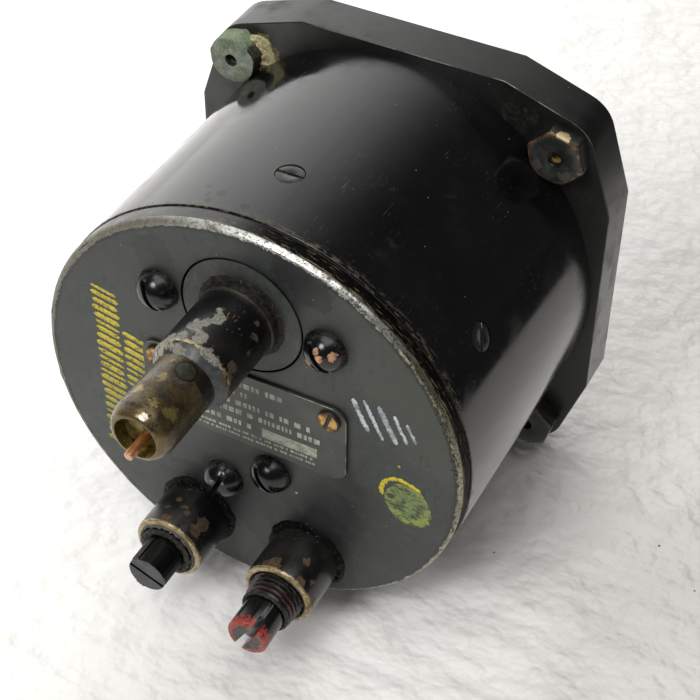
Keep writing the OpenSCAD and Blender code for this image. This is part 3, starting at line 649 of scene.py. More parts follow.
def case_finish(case):
    f = Finish("case_phenolic")
    flange = f.y.step(9.35, 9.1)
    front = f.y.step(0.3, 0.1)
    wide = f.noise(13, 5.0, 0.62)
    hand = f.noise(6, 6.0, 0.7, shift=11)
    grain = f.noise(0.35, 3.0, 0.6)
    hair = f.patches(0.16, 0.7, 1.0, stretch=(1, 0.06, 1)).either(
        f.patches(0.16, 0.72, 1.0, stretch=(0.25, 1, 0.25), shift=8)) * f.noise(
            10, 2.0, shift=5).step(0.5, 0.6)
    smears = f.patches(2.6, 0.54, 6.0, 0.72, soft=0.25) * f.blobs(
        [(-15.8, 49.4, 36.4, 5), (-18.3, 53.5, 35.2, 4), (-22.7, 45, 32.6, 4), (-24, 34, 31, 5)],
        6, 3)
    marks = f.blobs([(8.5, 57.2, 38.8, 0.7), (2.1, 57, 39.6, 0.8), (7.4, 55.1, 39, 0.9),
                     (10.6, 53.7, 38.3, 0.6), (9.6, 55.8, 38.5, 0.5)], 1.4, 0.7)
    dust = f.specks(1.9, 0.14, 0.07)
    # A broken pale line along the flange's edges: partly wear and partly a painted edge highlight.
    edge = f.ny.step(0.2, 0.45) * f.ny.step(0.96, 0.85) * flange * f.y.step(8.4, 8.6)
    worn = edge * f.patches(5.0, 0.42, soft=0.16)
    r = f.radius((0, 0))
    mouth = f.y.step(57.2, 59.0) * r.step(39.0, 39.3)
    dirt = mouth * f.noise(0.9, 5.0, 0.75, stretch=(0.5, 1.6, 0.5)).step(0.5, 0.58)
    crust = f.blobs([(26.6, 9.1, 34.6, 1.9), (25.4, 9.1, 32.4, 2.0)], 3.4, 0.8) * 0.5
    grime = f.blobs([(-23.4, 9.1, 33.6, 1.2), (-25.6, 9.1, 36.0, 1.6), (-21.6, 9.1, 35.6, 1.8)],
                    4.5, 1.4) * f.noise(0.8, 5.0, 0.7).step(0.42, 0.62)
    dusty = flange * f.noise(5, 5.0, 0.7, stretch=(0.5, 1, 1)).step(0.42, 0.7)
    rubbed = None
    for x, z in MOUNTS:
        ring = f.radius((x, z))
        one = ring.step(5.6, 5.2) * ring.step(3.4, 3.8)
        rubbed = one if rubbed is None else rubbed.either(one)
    rubbed = rubbed * front * f.noise(1.2, 5.0, 0.7, shift=2).step(0.42, 0.6)
    near_flange = f.y.step(19, 9.5) * (1 - flange)
    base = f.layers(
        f.blend(flange, case.barrel, case.flange),
        (wide.step(0.4, 0.75) * 0.3, tone(26, 26, 26)),
        (dusty * 0.22, tone(50, 50, 48)),
        (rubbed * 0.6, tone(74, 72, 66)),
        (smears * 0.16, tone(84, 86, 90)),
        (hair * 0.22, tone(104, 104, 100)),
        (marks * 0.7, tone(20, 20, 19)),
        (dirt * 0.75, f.blend(grain, tone(112, 100, 76), tone(62, 54, 42))),
        (grime * 0.4, tone(72, 69, 58)),
        (worn * 0.6, tone(128, 124, 112)),
        (crust, f.blend(grain.step(0.4, 0.62), tone(170, 158, 108), tone(112, 104, 64))),
        (dust * 0.6, tone(150, 150, 146)))
    # Painted shade: the flange's upward faces are made part metallic, which darkens their
    # reflection of the window.
    top = flange * f.ny.output(2).step(0.3, 0.7)
    rough = (0.1 + wide.step(0.4, 0.8) * 0.07 + hand.step(0.46, 0.7) * (0.1 + flange * 0.08)
             + smears * 0.15 + hair * 0.2 + near_flange * 0.2 + marks * 0.25 + flange * 0.2
             + dust * 0.3 + dirt * 0.4 + crust * 0.3)
    relief = f.noise(1.5, 3.0) + grain * flange * 2 - hair * 0.5 + crust * grain * 30
    return f.surface(base, rough, top * 0.45, relief, 0.004)


def cover_finish(case):
    f = Finish("cover_paint")
    r = f.radius((0, 0))
    wide = f.noise(16, 4.0, 0.6)
    smudge = f.noise(5, 6.0, 0.72, shift=21)
    mottle = f.noise(2.2, 5.0, 0.72)
    fine = f.noise(0.5, 4.0, 0.7)
    ragged = r + (f.noise(1.3, 6.0, 0.78) - 0.5) * 1.9
    dull = f.z.step(31, 25) * f.x.step(-10, -20)
    inner = f.x.step(26, -16) * 0.5 + 38.2 + dull * 0.1
    face = f.y.step(61.7, 62.3)
    rim = (ragged - inner).step(0, 0.12) * (face + (fine - 0.5) * 0.9).step(0.4, 0.6)
    side = r.step(39.0, 39.3) * (1 - rim)
    glossy = f.x.step(-6, 3)
    streaks = f.noise(0.6, 6.0, 0.75, stretch=(0.2, 2.6, 0.2), shift=5)
    bared = side * (streaks + f.y.step(60.8, 61.9) * 0.1).step(0.59, 0.64) * f.x.step(12, 0)
    edge_dirt = (ragged - inner).step(-0.7, 0) * (1 - rim)
    stain = f.blobs([(-3, COVER_FACE, -21, 8), (-11, COVER_FACE, -27, 10), (10, COVER_FACE, -25, 9),
                     (-8.5, COVER_FACE, 35.5, 3.2), (-12.5, COVER_FACE, 33, 4),
                     (16, COVER_FACE, 29, 4)], 8, 4)
    stain = stain.either(f.blobs([(-16, COVER_FACE, -14, 8), (-19.5, COVER_FACE, -6, 5)], 6, 4, 4))
    brushed = f.noise(1.6, 5.0, 0.72, stretch=(1.4, 1, 0.5), shift=9).step(0.54, 0.62) * f.noise(
        14, 2.0, shift=44).step(0.46, 0.58)
    olive = f.blobs([(-28, COVER_FACE, 22, 13), (-34, COVER_FACE, 10, 11),
                     (-20, COVER_FACE, 33, 7)], 8, 5, 7)
    shade = f.blobs([(-27, COVER_FACE, -22, 17), (-6, COVER_FACE, -34, 9)], 6, 5, 8)
    yellow = f.near((-9.5, COVER_FACE, -13.5), 0.3).either(f.near((-28.6, COVER_FACE, 2.6), 0.3))
    ring = f.radius(UPPER_AT)
    gap = ring.step(11.6, 11.4)
    seats = ring.step(13.0, 11.8) * 0.7
    for x, z, _ in UPPER_SCREWS + LOWER_SCREWS:
        seats = seats.either(f.radius((x - 0.3, z + 0.5)).step(5.9, 4.1))
    for at in (LEFT_PORT, RIGHT_PORT):
        seats = seats.either(f.radius(at).step(10.6, 7.6))
    near_plate = (f.x * f.x).step(424, 384) * f.z.step(11.8, 10.6) * f.z.step(-6.4, -5.4)
    seats = seats.either(near_plate)
    dust = (f.specks(2.2, 0.3, 0.06) * 0.8).either(seats * f.specks(0.7, 0.4, 0.13)).either(
        ring.step(14, 12.5) * f.specks(1.3, 0.16, 0.12))
    hair = f.patches(0.14, 0.71, 1.0, stretch=(0.08, 1, 0.5), shift=3) * f.noise(
        9, shift=7).step(0.52, 0.6)
    # Bare metal of the rim, brightest where the window's highlight falls and darker on the other
    # sides: partly a painted highlight.
    rim_tone_and_highlight = f.blend(dull, f.blend(f.x.step(18, -4), tone(126, 124, 112), case.rim),
                         tone(152, 149, 128))
    base = f.layers(
        case.cover,
        (wide.step(0.35, 0.7), tone(54, 59, 57)),
        (olive * 0.6, tone(72, 74, 63)),
        (shade * 0.45, tone(34, 35, 33)),
        (smudge.step(0.5, 0.7) * 0.6, tone(66, 72, 69)),
        (mottle.step(0.5, 0.8) * 0.7, tone(78, 83, 78)),
        (mottle.step(0.42, 0.3) * 0.6, tone(32, 35, 34)),
        (smudge.step(0.42, 0.3) * 0.6, tone(34, 37, 36)),
        (brushed * 0.55, tone(24, 26, 25)),
        (stain * 0.65, tone(26, 27, 27)),
        (fine.step(0.6, 0.7) * 0.25, tone(30, 32, 31)),
        (seats * (mottle * 0.4 + 0.4), tone(19, 20, 18)),
        (gap, tone(8, 8, 8)),
        (hair * 0.15, tone(126, 128, 120)),
        (edge_dirt * 0.6, tone(34, 34, 30)),
        (dust * 0.8, tone(170, 172, 160)),
        (yellow, tone(190, 176, 60)),
        (side, tone(12, 11, 10)),
        (bared, f.blend(fine, tone(150, 140, 112), tone(92, 84, 62))),
        (rim, f.layers(rim_tone_and_highlight, (mottle.step(0.44, 0.62) * 0.65, tone(112, 108, 90)),
                       (fine.step(0.51, 0.6) * (f.x.step(14, -4) * 0.4 + 0.5), tone(58, 54, 42)))))
    rough = (0.44 + (mottle - 0.5) * 0.45 + (smudge - 0.5) * 0.2 + wide * 0.05
             + side * (0.16 - glossy * 0.42) - rim * (0.12 - glossy * 0.14) + edge_dirt * 0.1)
    metal = (rim * (0.9 - glossy * 0.6) + bared * 0.4) * fine.step(0.65, 0.59) + (
        side - bared).either(0) * 0.95 * (1 - glossy)
    return f.surface(base, rough, metal,
                     mottle * (1 - rim) + (1 - rim) * 3 - fine * rim * 1.5 - brushed * 0.4, 0.014)


def crust_finish(name, ground, light, fleck=tone(140, 136, 122), metal=0.0):
    """Dried dirt or sealant in two tones, with paler flecks. metal dulls black dirt."""
    f = Finish(name)
    fine = f.noise(0.4, 5.0, 0.72)
    base = f.layers(ground, (fine.step(0.45, 0.6), light),
                    (f.specks(0.5, 0.3, 0.17) * 0.75, fleck))
    return f.surface(base, 0.55 + (fine - 0.5) * 0.4, metal, fine, 0.06,
                     **{"Specular IOR Level": 0.25})


def enamel_finish(name, fit, chips, lip):
    """Black enamel of a port, with chips at (x, y, z, radius) and a worn lip round its axis."""
    f = Finish(name)
    wide = f.noise(7, 4.0, 0.6)
    fine = f.noise(0.9, 5.0, 0.7)
    some = f.patches(1.7, 0.62, 5.0, 0.7, shift=17) * f.noise(6, 2.0, shift=2).step(0.5, 0.62)
    bare_spots = some.either(f.blobs(chips, 2.6, 1.3))
    r = f.radius(lip)
    worn = (f.y + (fine - 0.5) * 1.1).step(73.3, 73.38)
    face = worn * (r + (fine - 0.5) * 0.7).step(5.62, 5.54)
    base = f.layers(fit.enamel, (wide.step(0.4, 0.65) * 0.9, tone(40, 39, 37)),
                    (fine.step(0.55, 0.7) * 0.4, tone(38, 36, 32)),
                    (f.specks(1.2, 0.2, 0.09) * 0.7, tone(140, 138, 128)),
                    (bare_spots, f.blend(fine.step(0.4, 0.6), fit.chip, tone(68, 54, 40))),
                    (worn, f.blend(f.noise(1.2, 5.0, 0.7).step(0.42, 0.6), tone(178, 162, 124),
                                   tone(122, 104, 72))),
                    (worn * fine.step(0.62, 0.68), tone(54, 46, 36)),
                    (face, f.blend(fine.step(0.42, 0.58), tone(92, 94, 86), tone(38, 38, 36))),
                    (r.step(5.12, 5.05), tone(20, 19, 17)))
    rough = 0.2 + wide * 0.12 + bare_spots * 0.35 + worn * 0.06 + face * 0.3
    metal = (bare_spots * 0.2).either(worn * (1 - face) * 0.55)
    return f.surface(base, rough, metal, wide * 0.5 + fine * 0.4 - bare_spots * 1.5, 0.02)


def fitting_finish(fit):
    f = Finish("fitting_enamel")
    r = f.radius(UPPER_AT)
    wide = f.noise(6, 4.0, 0.6)
    fine = f.noise(0.8, 5.0, 0.72)
    grain = f.noise(0.3, 4.0, 0.7)
    disc = f.y.step(63.4, 63.25)
    cone = (f.y + (fine - 0.5) * 0.35).step(78.35, 78.45)
    lit = f.x.step(-4, 4)
    primer = f.blobs([(0.9, 74.4, 29.5, 1.3), (-0.4, 73, 29.6, 1.0), (-1.5, 71.6, 29.5, 1.1),
                      (-1.3, 76.3, 29.5, 1.3), (-0.2, 75.2, 29.5, 0.8), (1.6, 77, 29.2, 1.0),
                      (3.4, 77.6, 28.6, 1.0), (-3.4, 78, 28.7, 0.9), (-4.8, 78.2, 28, 0.8),
                      (-0.9, 69.9, 29.5, 0.5)], 3.6, 1.5)
    primer = primer * fine.step(0.32, 0.38) * (
        f.noise(0.5, 5.0, 0.75, shift=15).step(0.36, 0.42))
    brown = f.blobs([(-6.4, 76.1, 25.4, 1.0), (-6.3, 69, 25.8, 0.7), (-6.5, 71.6, 24.6, 0.6),
                     (-6.6, 78, 24.6, 1.2), (-5.5, 67.4, 27, 0.6)], 3.0, 1.4)
    flakes = f.patches(1.3, 0.64, 5.0, 0.7, shift=12) * f.noise(5, shift=4).step(0.5, 0.6)
    lines = f.patches(0.3, 0.66, 2.0, stretch=(1, 0.18, 1), shift=6) * f.blobs(
        [(-1.9, 70.3, 29.4, 1.5), (-3.8, 70.6, 28.5, 1.8), (3, 71, 28.8, 1.5)], 1, 1)
    rim = (f.y + (fine - 0.5) * 2.2).step(77.6, 77.8) * (1 - cone)
    foot = f.y.step(66.4, 65.1) * (1 - disc)
    rubbed = disc * f.noise(1.4, 5.0, 0.7, stretch=(1, 1, 0.4)).step(0.5, 0.66)
    gap = r.step(10.7, 10.85) * disc
    scraped = cone * f.noise(1.4, 6.0, 0.75, stretch=(1, 0.6, 1)).step(0.46, 0.54)
    specks = f.specks(1.1, 0.2, 0.09).either(f.specks(0.6, 0.4, 0.15) * disc)
    base = f.layers(
        fit.enamel,
        (wide.step(0.45, 0.75) * 0.8, tone(34, 31, 28)),
        (foot * fine.step(0.46, 0.58) * 0.6, tone(66, 56, 42)),
        (disc, f.blend(wide.step(0.35, 0.65), tone(48, 52, 50), tone(70, 74, 70))),
        (disc * fine.step(0.5, 0.36) * 0.7, tone(24, 25, 24)),
        (disc * r.step(9.6, 7.4) * 0.7, tone(20, 19, 17)),
        (rubbed * 0.5, tone(84, 86, 78)),
        (gap, tone(7, 7, 7)),
        (specks * 0.75, tone(146, 142, 124)),
        (cone, f.blend(wide.step(0.4, 0.65), tone(50, 53, 57), tone(28, 30, 33))),
        # Pale scrapes on the cone, kept to its lit side: partly wear and partly a painted
        # highlight.
        (scraped * (lit * 0.85 + 0.1), f.blend(grain, tone(196, 190, 168), tone(112, 108, 96))),
        (brown.either(flakes * 0.8), f.blend(grain, tone(86, 68, 50), tone(60, 48, 38))),
        (lines, tone(176, 132, 80)),
        (rim * f.patches(1.8, 0.42, 5.0, 0.7, soft=0.08),
         f.blend(fine.step(0.35, 0.65), tone(196, 184, 152), tone(138, 112, 74))),
        (primer, f.blend(grain.step(0.35, 0.62), fit.primer, tone(104, 102, 90))))
    rough = (0.2 + wide * 0.12 + disc * (0.2 + fine * 0.2) + primer.either(brown) * 0.35
             + cone * 0.18 + foot * 0.15)
    return f.surface(base, rough, (rim * 0.4 + lines * 0.6) * (1 - primer),
                     wide * 0.4 + fine * (foot * 2 + 0.5) - brown - lines * 0.6 + primer * 0.3,
                     0.03)


def sleeve_finish(fit):
    f = Finish("sleeve_patina")
    r = f.radius(UPPER_AT)
    wide = f.noise(2.4, 6.0, 0.72)
    fine = f.noise(0.6, 5.0, 0.72)
    rubs = f.noise(0.5, 5.0, 0.72, stretch=(0.4, 1.6, 0.4), shift=33)
    grey = f.noise(3.2, 6.0, 0.7, stretch=(1, 0.5, 1), shift=40).step(0.5, 0.62) * f.y.step(88, 84)
    gold = f.blobs([(0.3, 85.2, 27.9, 0.9), (0.6, 81.6, 27.9, 0.6), (-3.8, 89.5, 26, 1.3),
                    (-1.6, 90.4, 27.7, 0.6), (2.2, 88.4, 27.4, 0.9)], 4.5, 1.6)
    olive = f.patches(2.0, 0.48, 6.0, 0.7, soft=0.1, shift=20)
    black = f.near((-5.2, 80.6, 24.7), 2.6, 3, 1.5).either(f.blobs(
        [(-1.7, 88.5, 27.6, 0.7), (0.4, 88.6, 27.8, 0.4), (-3.2, 85.1, 26.8, 0.3)], 3, 1.2)).either(
        f.patches(2.0, 0.62, 6.0, 0.72, shift=14, soft=0.04) * 0.9)
    spots = f.patches(0.5, 0.64, 3.0, shift=7).either(f.blobs(
        [(1.5, 92.7, 27.5, 0.3), (0.8, 91.8, 27.7, 0.5), (-2.3, 92.2, 27.3, 0.26),
         (-3.7, 92.6, 26.4, 0.3), (-2, 93.9, 27.5, 0.26), (-4.6, 87.9, 25.2, 0.55),
         (-3.2, 85.1, 26.8, 0.25), (3.2, 91.3, 27.0, 0.3), (1.9, 91.6, 27.5, 0.22)], 0.7, 0.5))
    inner = r.step(3.68, 3.6) * f.y.step(88, 90)
    mouth = f.y.step(93.3, 93.5) * r.step(4.1, 3.9)
    pin = ((f.x - SLEEVE_PIN[0]) ** 2 + (f.y - SLEEVE_PIN[1]) ** 2
           + (f.z - SLEEVE_PIN[2]) ** 2) ** 0.5
    scratches = f.noise(0.3, 2.0, stretch=(0.3, 1.6, 0.3)).step(0.58, 0.66) * f.near(
        (-1.2, 90.4, 27.7), 1.5, 2, 1)
    base = f.layers(
        fit.patina,
        (wide.step(0.4, 0.6), tone(54, 44, 30)),
        (olive * 0.7, tone(82, 76, 44)),
        (rubs.step(0.56, 0.68) * 0.5, tone(118, 102, 64)),
        (gold * 0.6, tone(150, 132, 74)),
        (grey * 0.5, tone(90, 88, 80)),
        (f.y.step(91.9, 92.8) * 0.45, tone(128, 112, 76)),
        (mouth * (wide.step(0.45, 0.55) * 0.5 + 0.2), tone(108, 82, 50)),
        (black, f.blend(fine, tone(32, 28, 22), tone(20, 18, 14))),
        (scratches * 0.7, tone(176, 156, 96)),
        # Painted highlight: a pale spot on the sleeve's top by the mouth.
        (f.near((-1.7, 93.0, 27.5), 0.75, 1.2, 0.7) * 0.8, tone(206, 198, 176)),
        (spots, tone(14, 12, 9)),
        (pin.step(2.05, 1.75) * 0.85, tone(22, 20, 15)),
        # Inside the bore: clean brass, with painted shade darkening the wall on the +x side.
        (inner, f.layers(tone(172, 156, 80), (wide.step(0.4, 0.6), tone(66, 56, 32)),
                         (f.x.step(0, 3) * 0.7, tone(34, 26, 17)))))
    rough = 0.27 + (wide - 0.5) * 0.4 + (rubs - 0.5) * 0.2 + black * 0.05 + spots * 0.35
    return f.surface(base, rough, (0.55 - black * 0.4 - grey * 0.2) * (1 - spots),
                     wide * 0.8 + fine * 0.7 - spots * 1.5 - scratches, 0.03)


def nut_finish(fit):
    f = Finish("nut_metal")
    crust = (f.x > 0) * (f.z > 0)
    second = (f.x < 0) * (f.z > 0)
    up = f.ny.step(0.4, 0.62)
    bevel = f.ny.step(0.76, 0.82) * f.ny.step(0.985, 0.95) * f.radius(MOUNTS[1]).step(2.0, 2.4)
    face = f.ny.step(0.95, 0.98)
    wide = f.noise(2.6, 5.0, 0.68)
    fine = f.noise(0.6, 5.0, 0.72)
    grain = f.noise(0.22, 3.0, 0.6)
    top = (f.z + (wide - 0.5) * 6).step(33.5, 35)
    edge = (bevel * (0.12 + second * 0.88)).both(f.patches(1.7, 0.42, 5.0, 0.7, soft=0.12))
    # Painted highlight: a bright brassy spot on the second nut's corner.
    painted_glint = second * f.near((-32.4, 12.0, 35.8), 1.3, 1.6, 0.9) * (1 - face)
    # Painted shade: the outward faces deep in the green nut's hole stay dark.
    deep = f.y.step(12.4, 12.1) * up * f.radius(MOUNTS[0]).step(1.5, 1.3)
    base = f.layers(
        tone(18, 18, 17),
        (wide.step(0.4, 0.7), tone(32, 30, 26)),
        (face * second, f.layers(tone(38, 41, 40), (wide.step(0.42, 0.62), tone(62, 64, 60)),
                                 (f.blobs([(-33.6, 12.7, 28.6, 1.1), (-28.4, 12.7, 29.4, 0.9)],
                                          3, 1) * 0.5, tone(96, 98, 90)))),
        (edge, f.blend(fine.step(0.35, 0.65), tone(150, 118, 82), tone(102, 74, 48))),
        (painted_glint, tone(196, 176, 132)),
        (crust, f.blend(fine.step(0.42, 0.62), tone(24, 26, 18), tone(62, 66, 44))),
        (crust * up.either((f.z + (wide - 0.5) * 3).step(34.2, 35.2) * 0.9),
         f.layers(fit.verdigris, (wide.step(0.42, 0.6), tone(128, 134, 122)),
                  (fine.step(0.5, 0.7) * 0.8, tone(178, 184, 166)),
                  (f.noise(1.5, 5.0, 0.7, shift=9).step(0.54, 0.64), tone(126, 138, 92)),
                  (grain.step(0.56, 0.62) * 0.6, tone(92, 100, 84)),
                  (top * 0.6, f.blend(fine.step(0.4, 0.6), tone(108, 124, 92),
                                      tone(140, 156, 118))))),
        (deep * crust, tone(40, 46, 40)),
        (f.y.step(12.2, 11.6) * f.near((-31.43, 11, 31.43), 1.6), tone(150, 128, 76)))
    return f.surface(base, 0.34 + (wide - 0.5) * 0.2 + crust * 0.5,
                     edge.either(painted_glint) * 0.6 * (1 - crust),
                     fine + wide * crust * 2 + grain * crust, 0.05)


def side_screw_finish():
    """Dull black of the flush side screws, dusty in their slots."""
    f = Finish("side_screw_black")
    wide = f.noise(1.6, 4.0, 0.65)
    fine = f.noise(0.5, 5.0, 0.7)
    deep = f.radius((0, 0)).step(39.5, 39.2)
    base = f.layers(tone(22, 22, 21), (wide.step(0.42, 0.6), tone(40, 39, 36)),
                    (deep * fine.step(0.5, 0.6), tone(120, 104, 78)))
    return f.surface(base, 0.34 + (wide - 0.5) * 0.3, 0.0, wide + fine, 0.02)


def screw_finish():
    f = Finish("screw_enamel")
    wide = f.noise(2.6, 4.0, 0.6)
    fine = f.noise(0.6, 5.0, 0.7)
    chips = f.blobs([(-15.1, 66.2, 24.2, 0.6), (-15.8, 66.5, 23.2, 0.65), (-17.7, 65.6, 23.7, 0.8),
                     (-18.3, 65.0, 24.1, 0.4), (-13.6, 66.0, 21.0, 0.85), (-14.4, 66.2, 20.0, 0.6)],
                    1.6, 0.9)
    base_ring = f.near((-12.9, 63.6, 20.2), 1.4, 1.4, 0.8).either(
        f.near((-3.0, 63.7, -14.2), 1.0, 1.0, 0.6) * 0.7).either(
        f.near((18.4, 64.0, 23.8), 1.2, 1.2, 0.7) * 0.35)
    # Pale slot edges on one lower screw: partly wear and partly a painted highlight where the slot
    # catches the light.
    worn = f.blobs([(4.0, 66.0, -15.2, 0.7), (5.6, 66.0, -15.4, 0.5)], 1.2, 0.5)
    dusty = f.y.step(65.2, 63.4) * fine.step(0.42, 0.58)
    sprinkled = f.specks(0.7, 0.45, 0.14) * f.y.step(65.6, 64.2)
    base = f.layers(
        tone(12, 12, 13), (wide.step(0.45, 0.8), tone(25, 25, 26)),
        (dusty * 0.5, tone(54, 49, 40)),
        (sprinkled.either(f.specks(1.0, 0.2, 0.09)) * 0.8, tone(120, 114, 94)),
        (worn * fine.step(0.5, 0.56), tone(150, 152, 150)),
        (base_ring, f.blend(fine.step(0.4, 0.6), tone(184, 146, 110), tone(132, 98, 66))),
        (chips, f.blend(fine.step(0.4, 0.6), tone(216, 172, 140), tone(156, 112, 80))))
    return f.surface(base, 0.15 + wide * 0.12 + chips * 0.3 + dusty * 0.25,
                     chips.either(base_ring) * 0.5, wide * 0.4 + fine * 0.3 - chips, 0.012)


def plug_finish(name, at, end, fit, painted):
    f = Finish(name)
    r = f.radius(at)
    wide = f.noise(2.4, 4.0, 0.6)
    fine = f.noise(0.5, 5.0, 0.7)
    face = (f.y - end).step(-0.06, -0.02)
    base = f.layers(tone(11, 11, 11), (wide.step(0.45, 0.75), tone(24, 23, 22)),
                    (f.specks(0.9, 0.15, 0.09) * 0.6, tone(104, 102, 96)))
    rough = 0.16 + wide * 0.12
    metal = 0.0
    if painted:
        threads = f.y.step(77.85, 77.65)
        crests = threads * (r + (wide - 0.5) * 0.5 + f.y.step(77, 72) * -0.42).step(4.32, 4.5)
        dusty = threads * f.y.step(76.3, 75.2) * (
            f.noise(0.22, 3.0, 0.7, stretch=(0.3, 2.4, 0.3)).step(0.56, 0.64))
        drips = (f.noise(0.9, 4.0, 0.65, stretch=(1, 0.22, 1)) - 0.5) * 4.6
        run = (f.y - end + drips).step(-1.75, -1.6) * (1 - face)
        rim = face * (r + (fine - 0.5) * 1.6).step(2.6, 2.85)
        thin = f.patches(1.0, 0.56, 4.0, shift=2)
        base = f.layers(
            base,
            (threads * 0.5, tone(26, 23, 21)),
            (crests * f.y.step(75.0, 76.2) * 0.9,
             f.blend(wide.step(0.42, 0.58), tone(84, 46, 38), tone(58, 40, 34))),
            (dusty.either(threads * f.specks(0.4, 0.4, 0.2)) * 0.7, tone(118, 114, 106)),
            (face, f.blend(fine.step(0.4, 0.6), tone(44, 42, 41), tone(84, 78, 74))),
            ((run.either(rim)) * (1 - thin * 0.9),
             f.blend(fine.step(0.35, 0.6), fit.red, tone(132, 44, 36))),
            ((run.either(rim)) * (f.y - end).step(-0.5, -0.2) * fine.step(0.5, 0.6) * 0.6,
             tone(212, 120, 98)))
        rough = rough + run * 0.2 + threads * 0.12 + face * 0.25
        metal = crests * 0.2
    else:
        base = f.layers(base, (face, f.blend(wide.step(0.4, 0.6), tone(62, 66, 68),
                                             tone(42, 44, 46))))
        rough = rough + face * 0.25
    return f.surface(base, rough, metal, wide * 0.5 + fine * 0.3, 0.012)


def plate_finish(case):
    f = Finish("plate_ground")
    wide = f.noise(7, 4.0, 0.6)
    fine = f.noise(0.8, 4.0, 0.65)
    # Pale patches on the plate's edges: partly wear and partly a painted edge highlight.
    edge = f.ny.step(0.15, 0.3) * f.ny.step(0.98, 0.9)
    base = f.layers(case.plate, (wide.step(0.4, 0.65), tone(78, 80, 75)),
                    (f.specks(1.5, 0.2, 0.08) * 0.6, tone(150, 150, 138)),
                    (fine.step(0.6, 0.75) * 0.4, tone(44, 45, 42)),
                    (edge * f.patches(3, 0.4, soft=0.1), tone(168, 164, 140)))
    return f.surface(base, 0.44 + (fine - 0.5) * 0.2, 0.25, fine + wide, 0.01)


def paint_finish(name, thick, thin, worn=0.0, rough=0.45):
    """Brushed paint: thick where it was laid, thin and streaky elsewhere."""
    f = Finish(name)
    wide = f.noise(2.0, 4.0, 0.65)
    fine = f.noise(0.45, 4.0, 0.7)
    base = f.layers(thick, (wide.step(0.42, 0.62), thin))
    if worn:
        base = f.layers(base, (fine.step(worn, worn + 0.06), tone(60, 62, 58)))
    return f.surface(base, rough + (fine - 0.5) * 0.2, 0.0, fine + wide, 0.03)


# Paint strokes

def softened(points):
    """The points of a line with its corners cut twice over."""
    points = [Vector(p) for p in points]
    for _ in range(2):
        cut_line = [points[0]]
        for a, b in zip(points, points[1:]):
            cut_line += [a.lerp(b, 0.25), a.lerp(b, 0.75)]
        points = cut_line + [points[-1]]
    return points


def stroke(mesh, points, width, rng, ragged=0.12, level=COVER_FACE, thick=0.03, ends=0.35):
    """Adds a closed flat paint stroke along (x, z) points, in millimetres, on a face at level."""
    points = softened(points)
    dense = []
    for a, b in zip(points, points[1:]):
        count = max(1, round((b - a).length / 0.22))
        dense += [a.lerp(b, i / count) for i in range(count)]
    dense.append(points[-1])
    last = len(dense) - 1
    rows = []
    for i, p in enumerate(dense):
        way = (dense[min(i + 1, last)] - dense[max(i - 1, 0)]).normalized()
        side = Vector((-way.y, way.x))
        taper = min(1.0, ends + (1 - ends) * min(i, last - i) / 2.5)
        left, right = (width / 2 * taper + rng.uniform(-ragged, ragged) for _ in range(2))
        flat = [p + side * max(left, 0.05), p - side * max(right, 0.05)]
        rows.append([[mesh.verts.new(Vector((q.x, level + h, q.y)) * MM) for q in flat]
                     for h in (-0.01, thick)])
    for (low_a, high_a), (low_b, high_b) in zip(rows, rows[1:]):
        mesh.faces.new((high_a[0], high_a[1], high_b[1], high_b[0]))
        mesh.faces.new((low_a[1], low_a[0], low_b[0], low_b[1]))
        mesh.faces.new((low_a[0], high_a[0], high_b[0], low_b[0]))
        mesh.faces.new((high_a[1], low_a[1], low_b[1], high_b[1]))
    for low, high in (rows[0], rows[-1]):
        mesh.faces.new((low[0], low[1], high[1], high[0]))


def arc_points(middle, radius, start, end, count=60):
    """Points of an arc in the dial plane, angles in degrees."""
    angles = [math.radians(start + (end - start) * i / count) for i in range(count + 1)]
    return [Vector(middle) + Vector((math.cos(a), math.sin(a))) * radius for a in angles]


# Operators

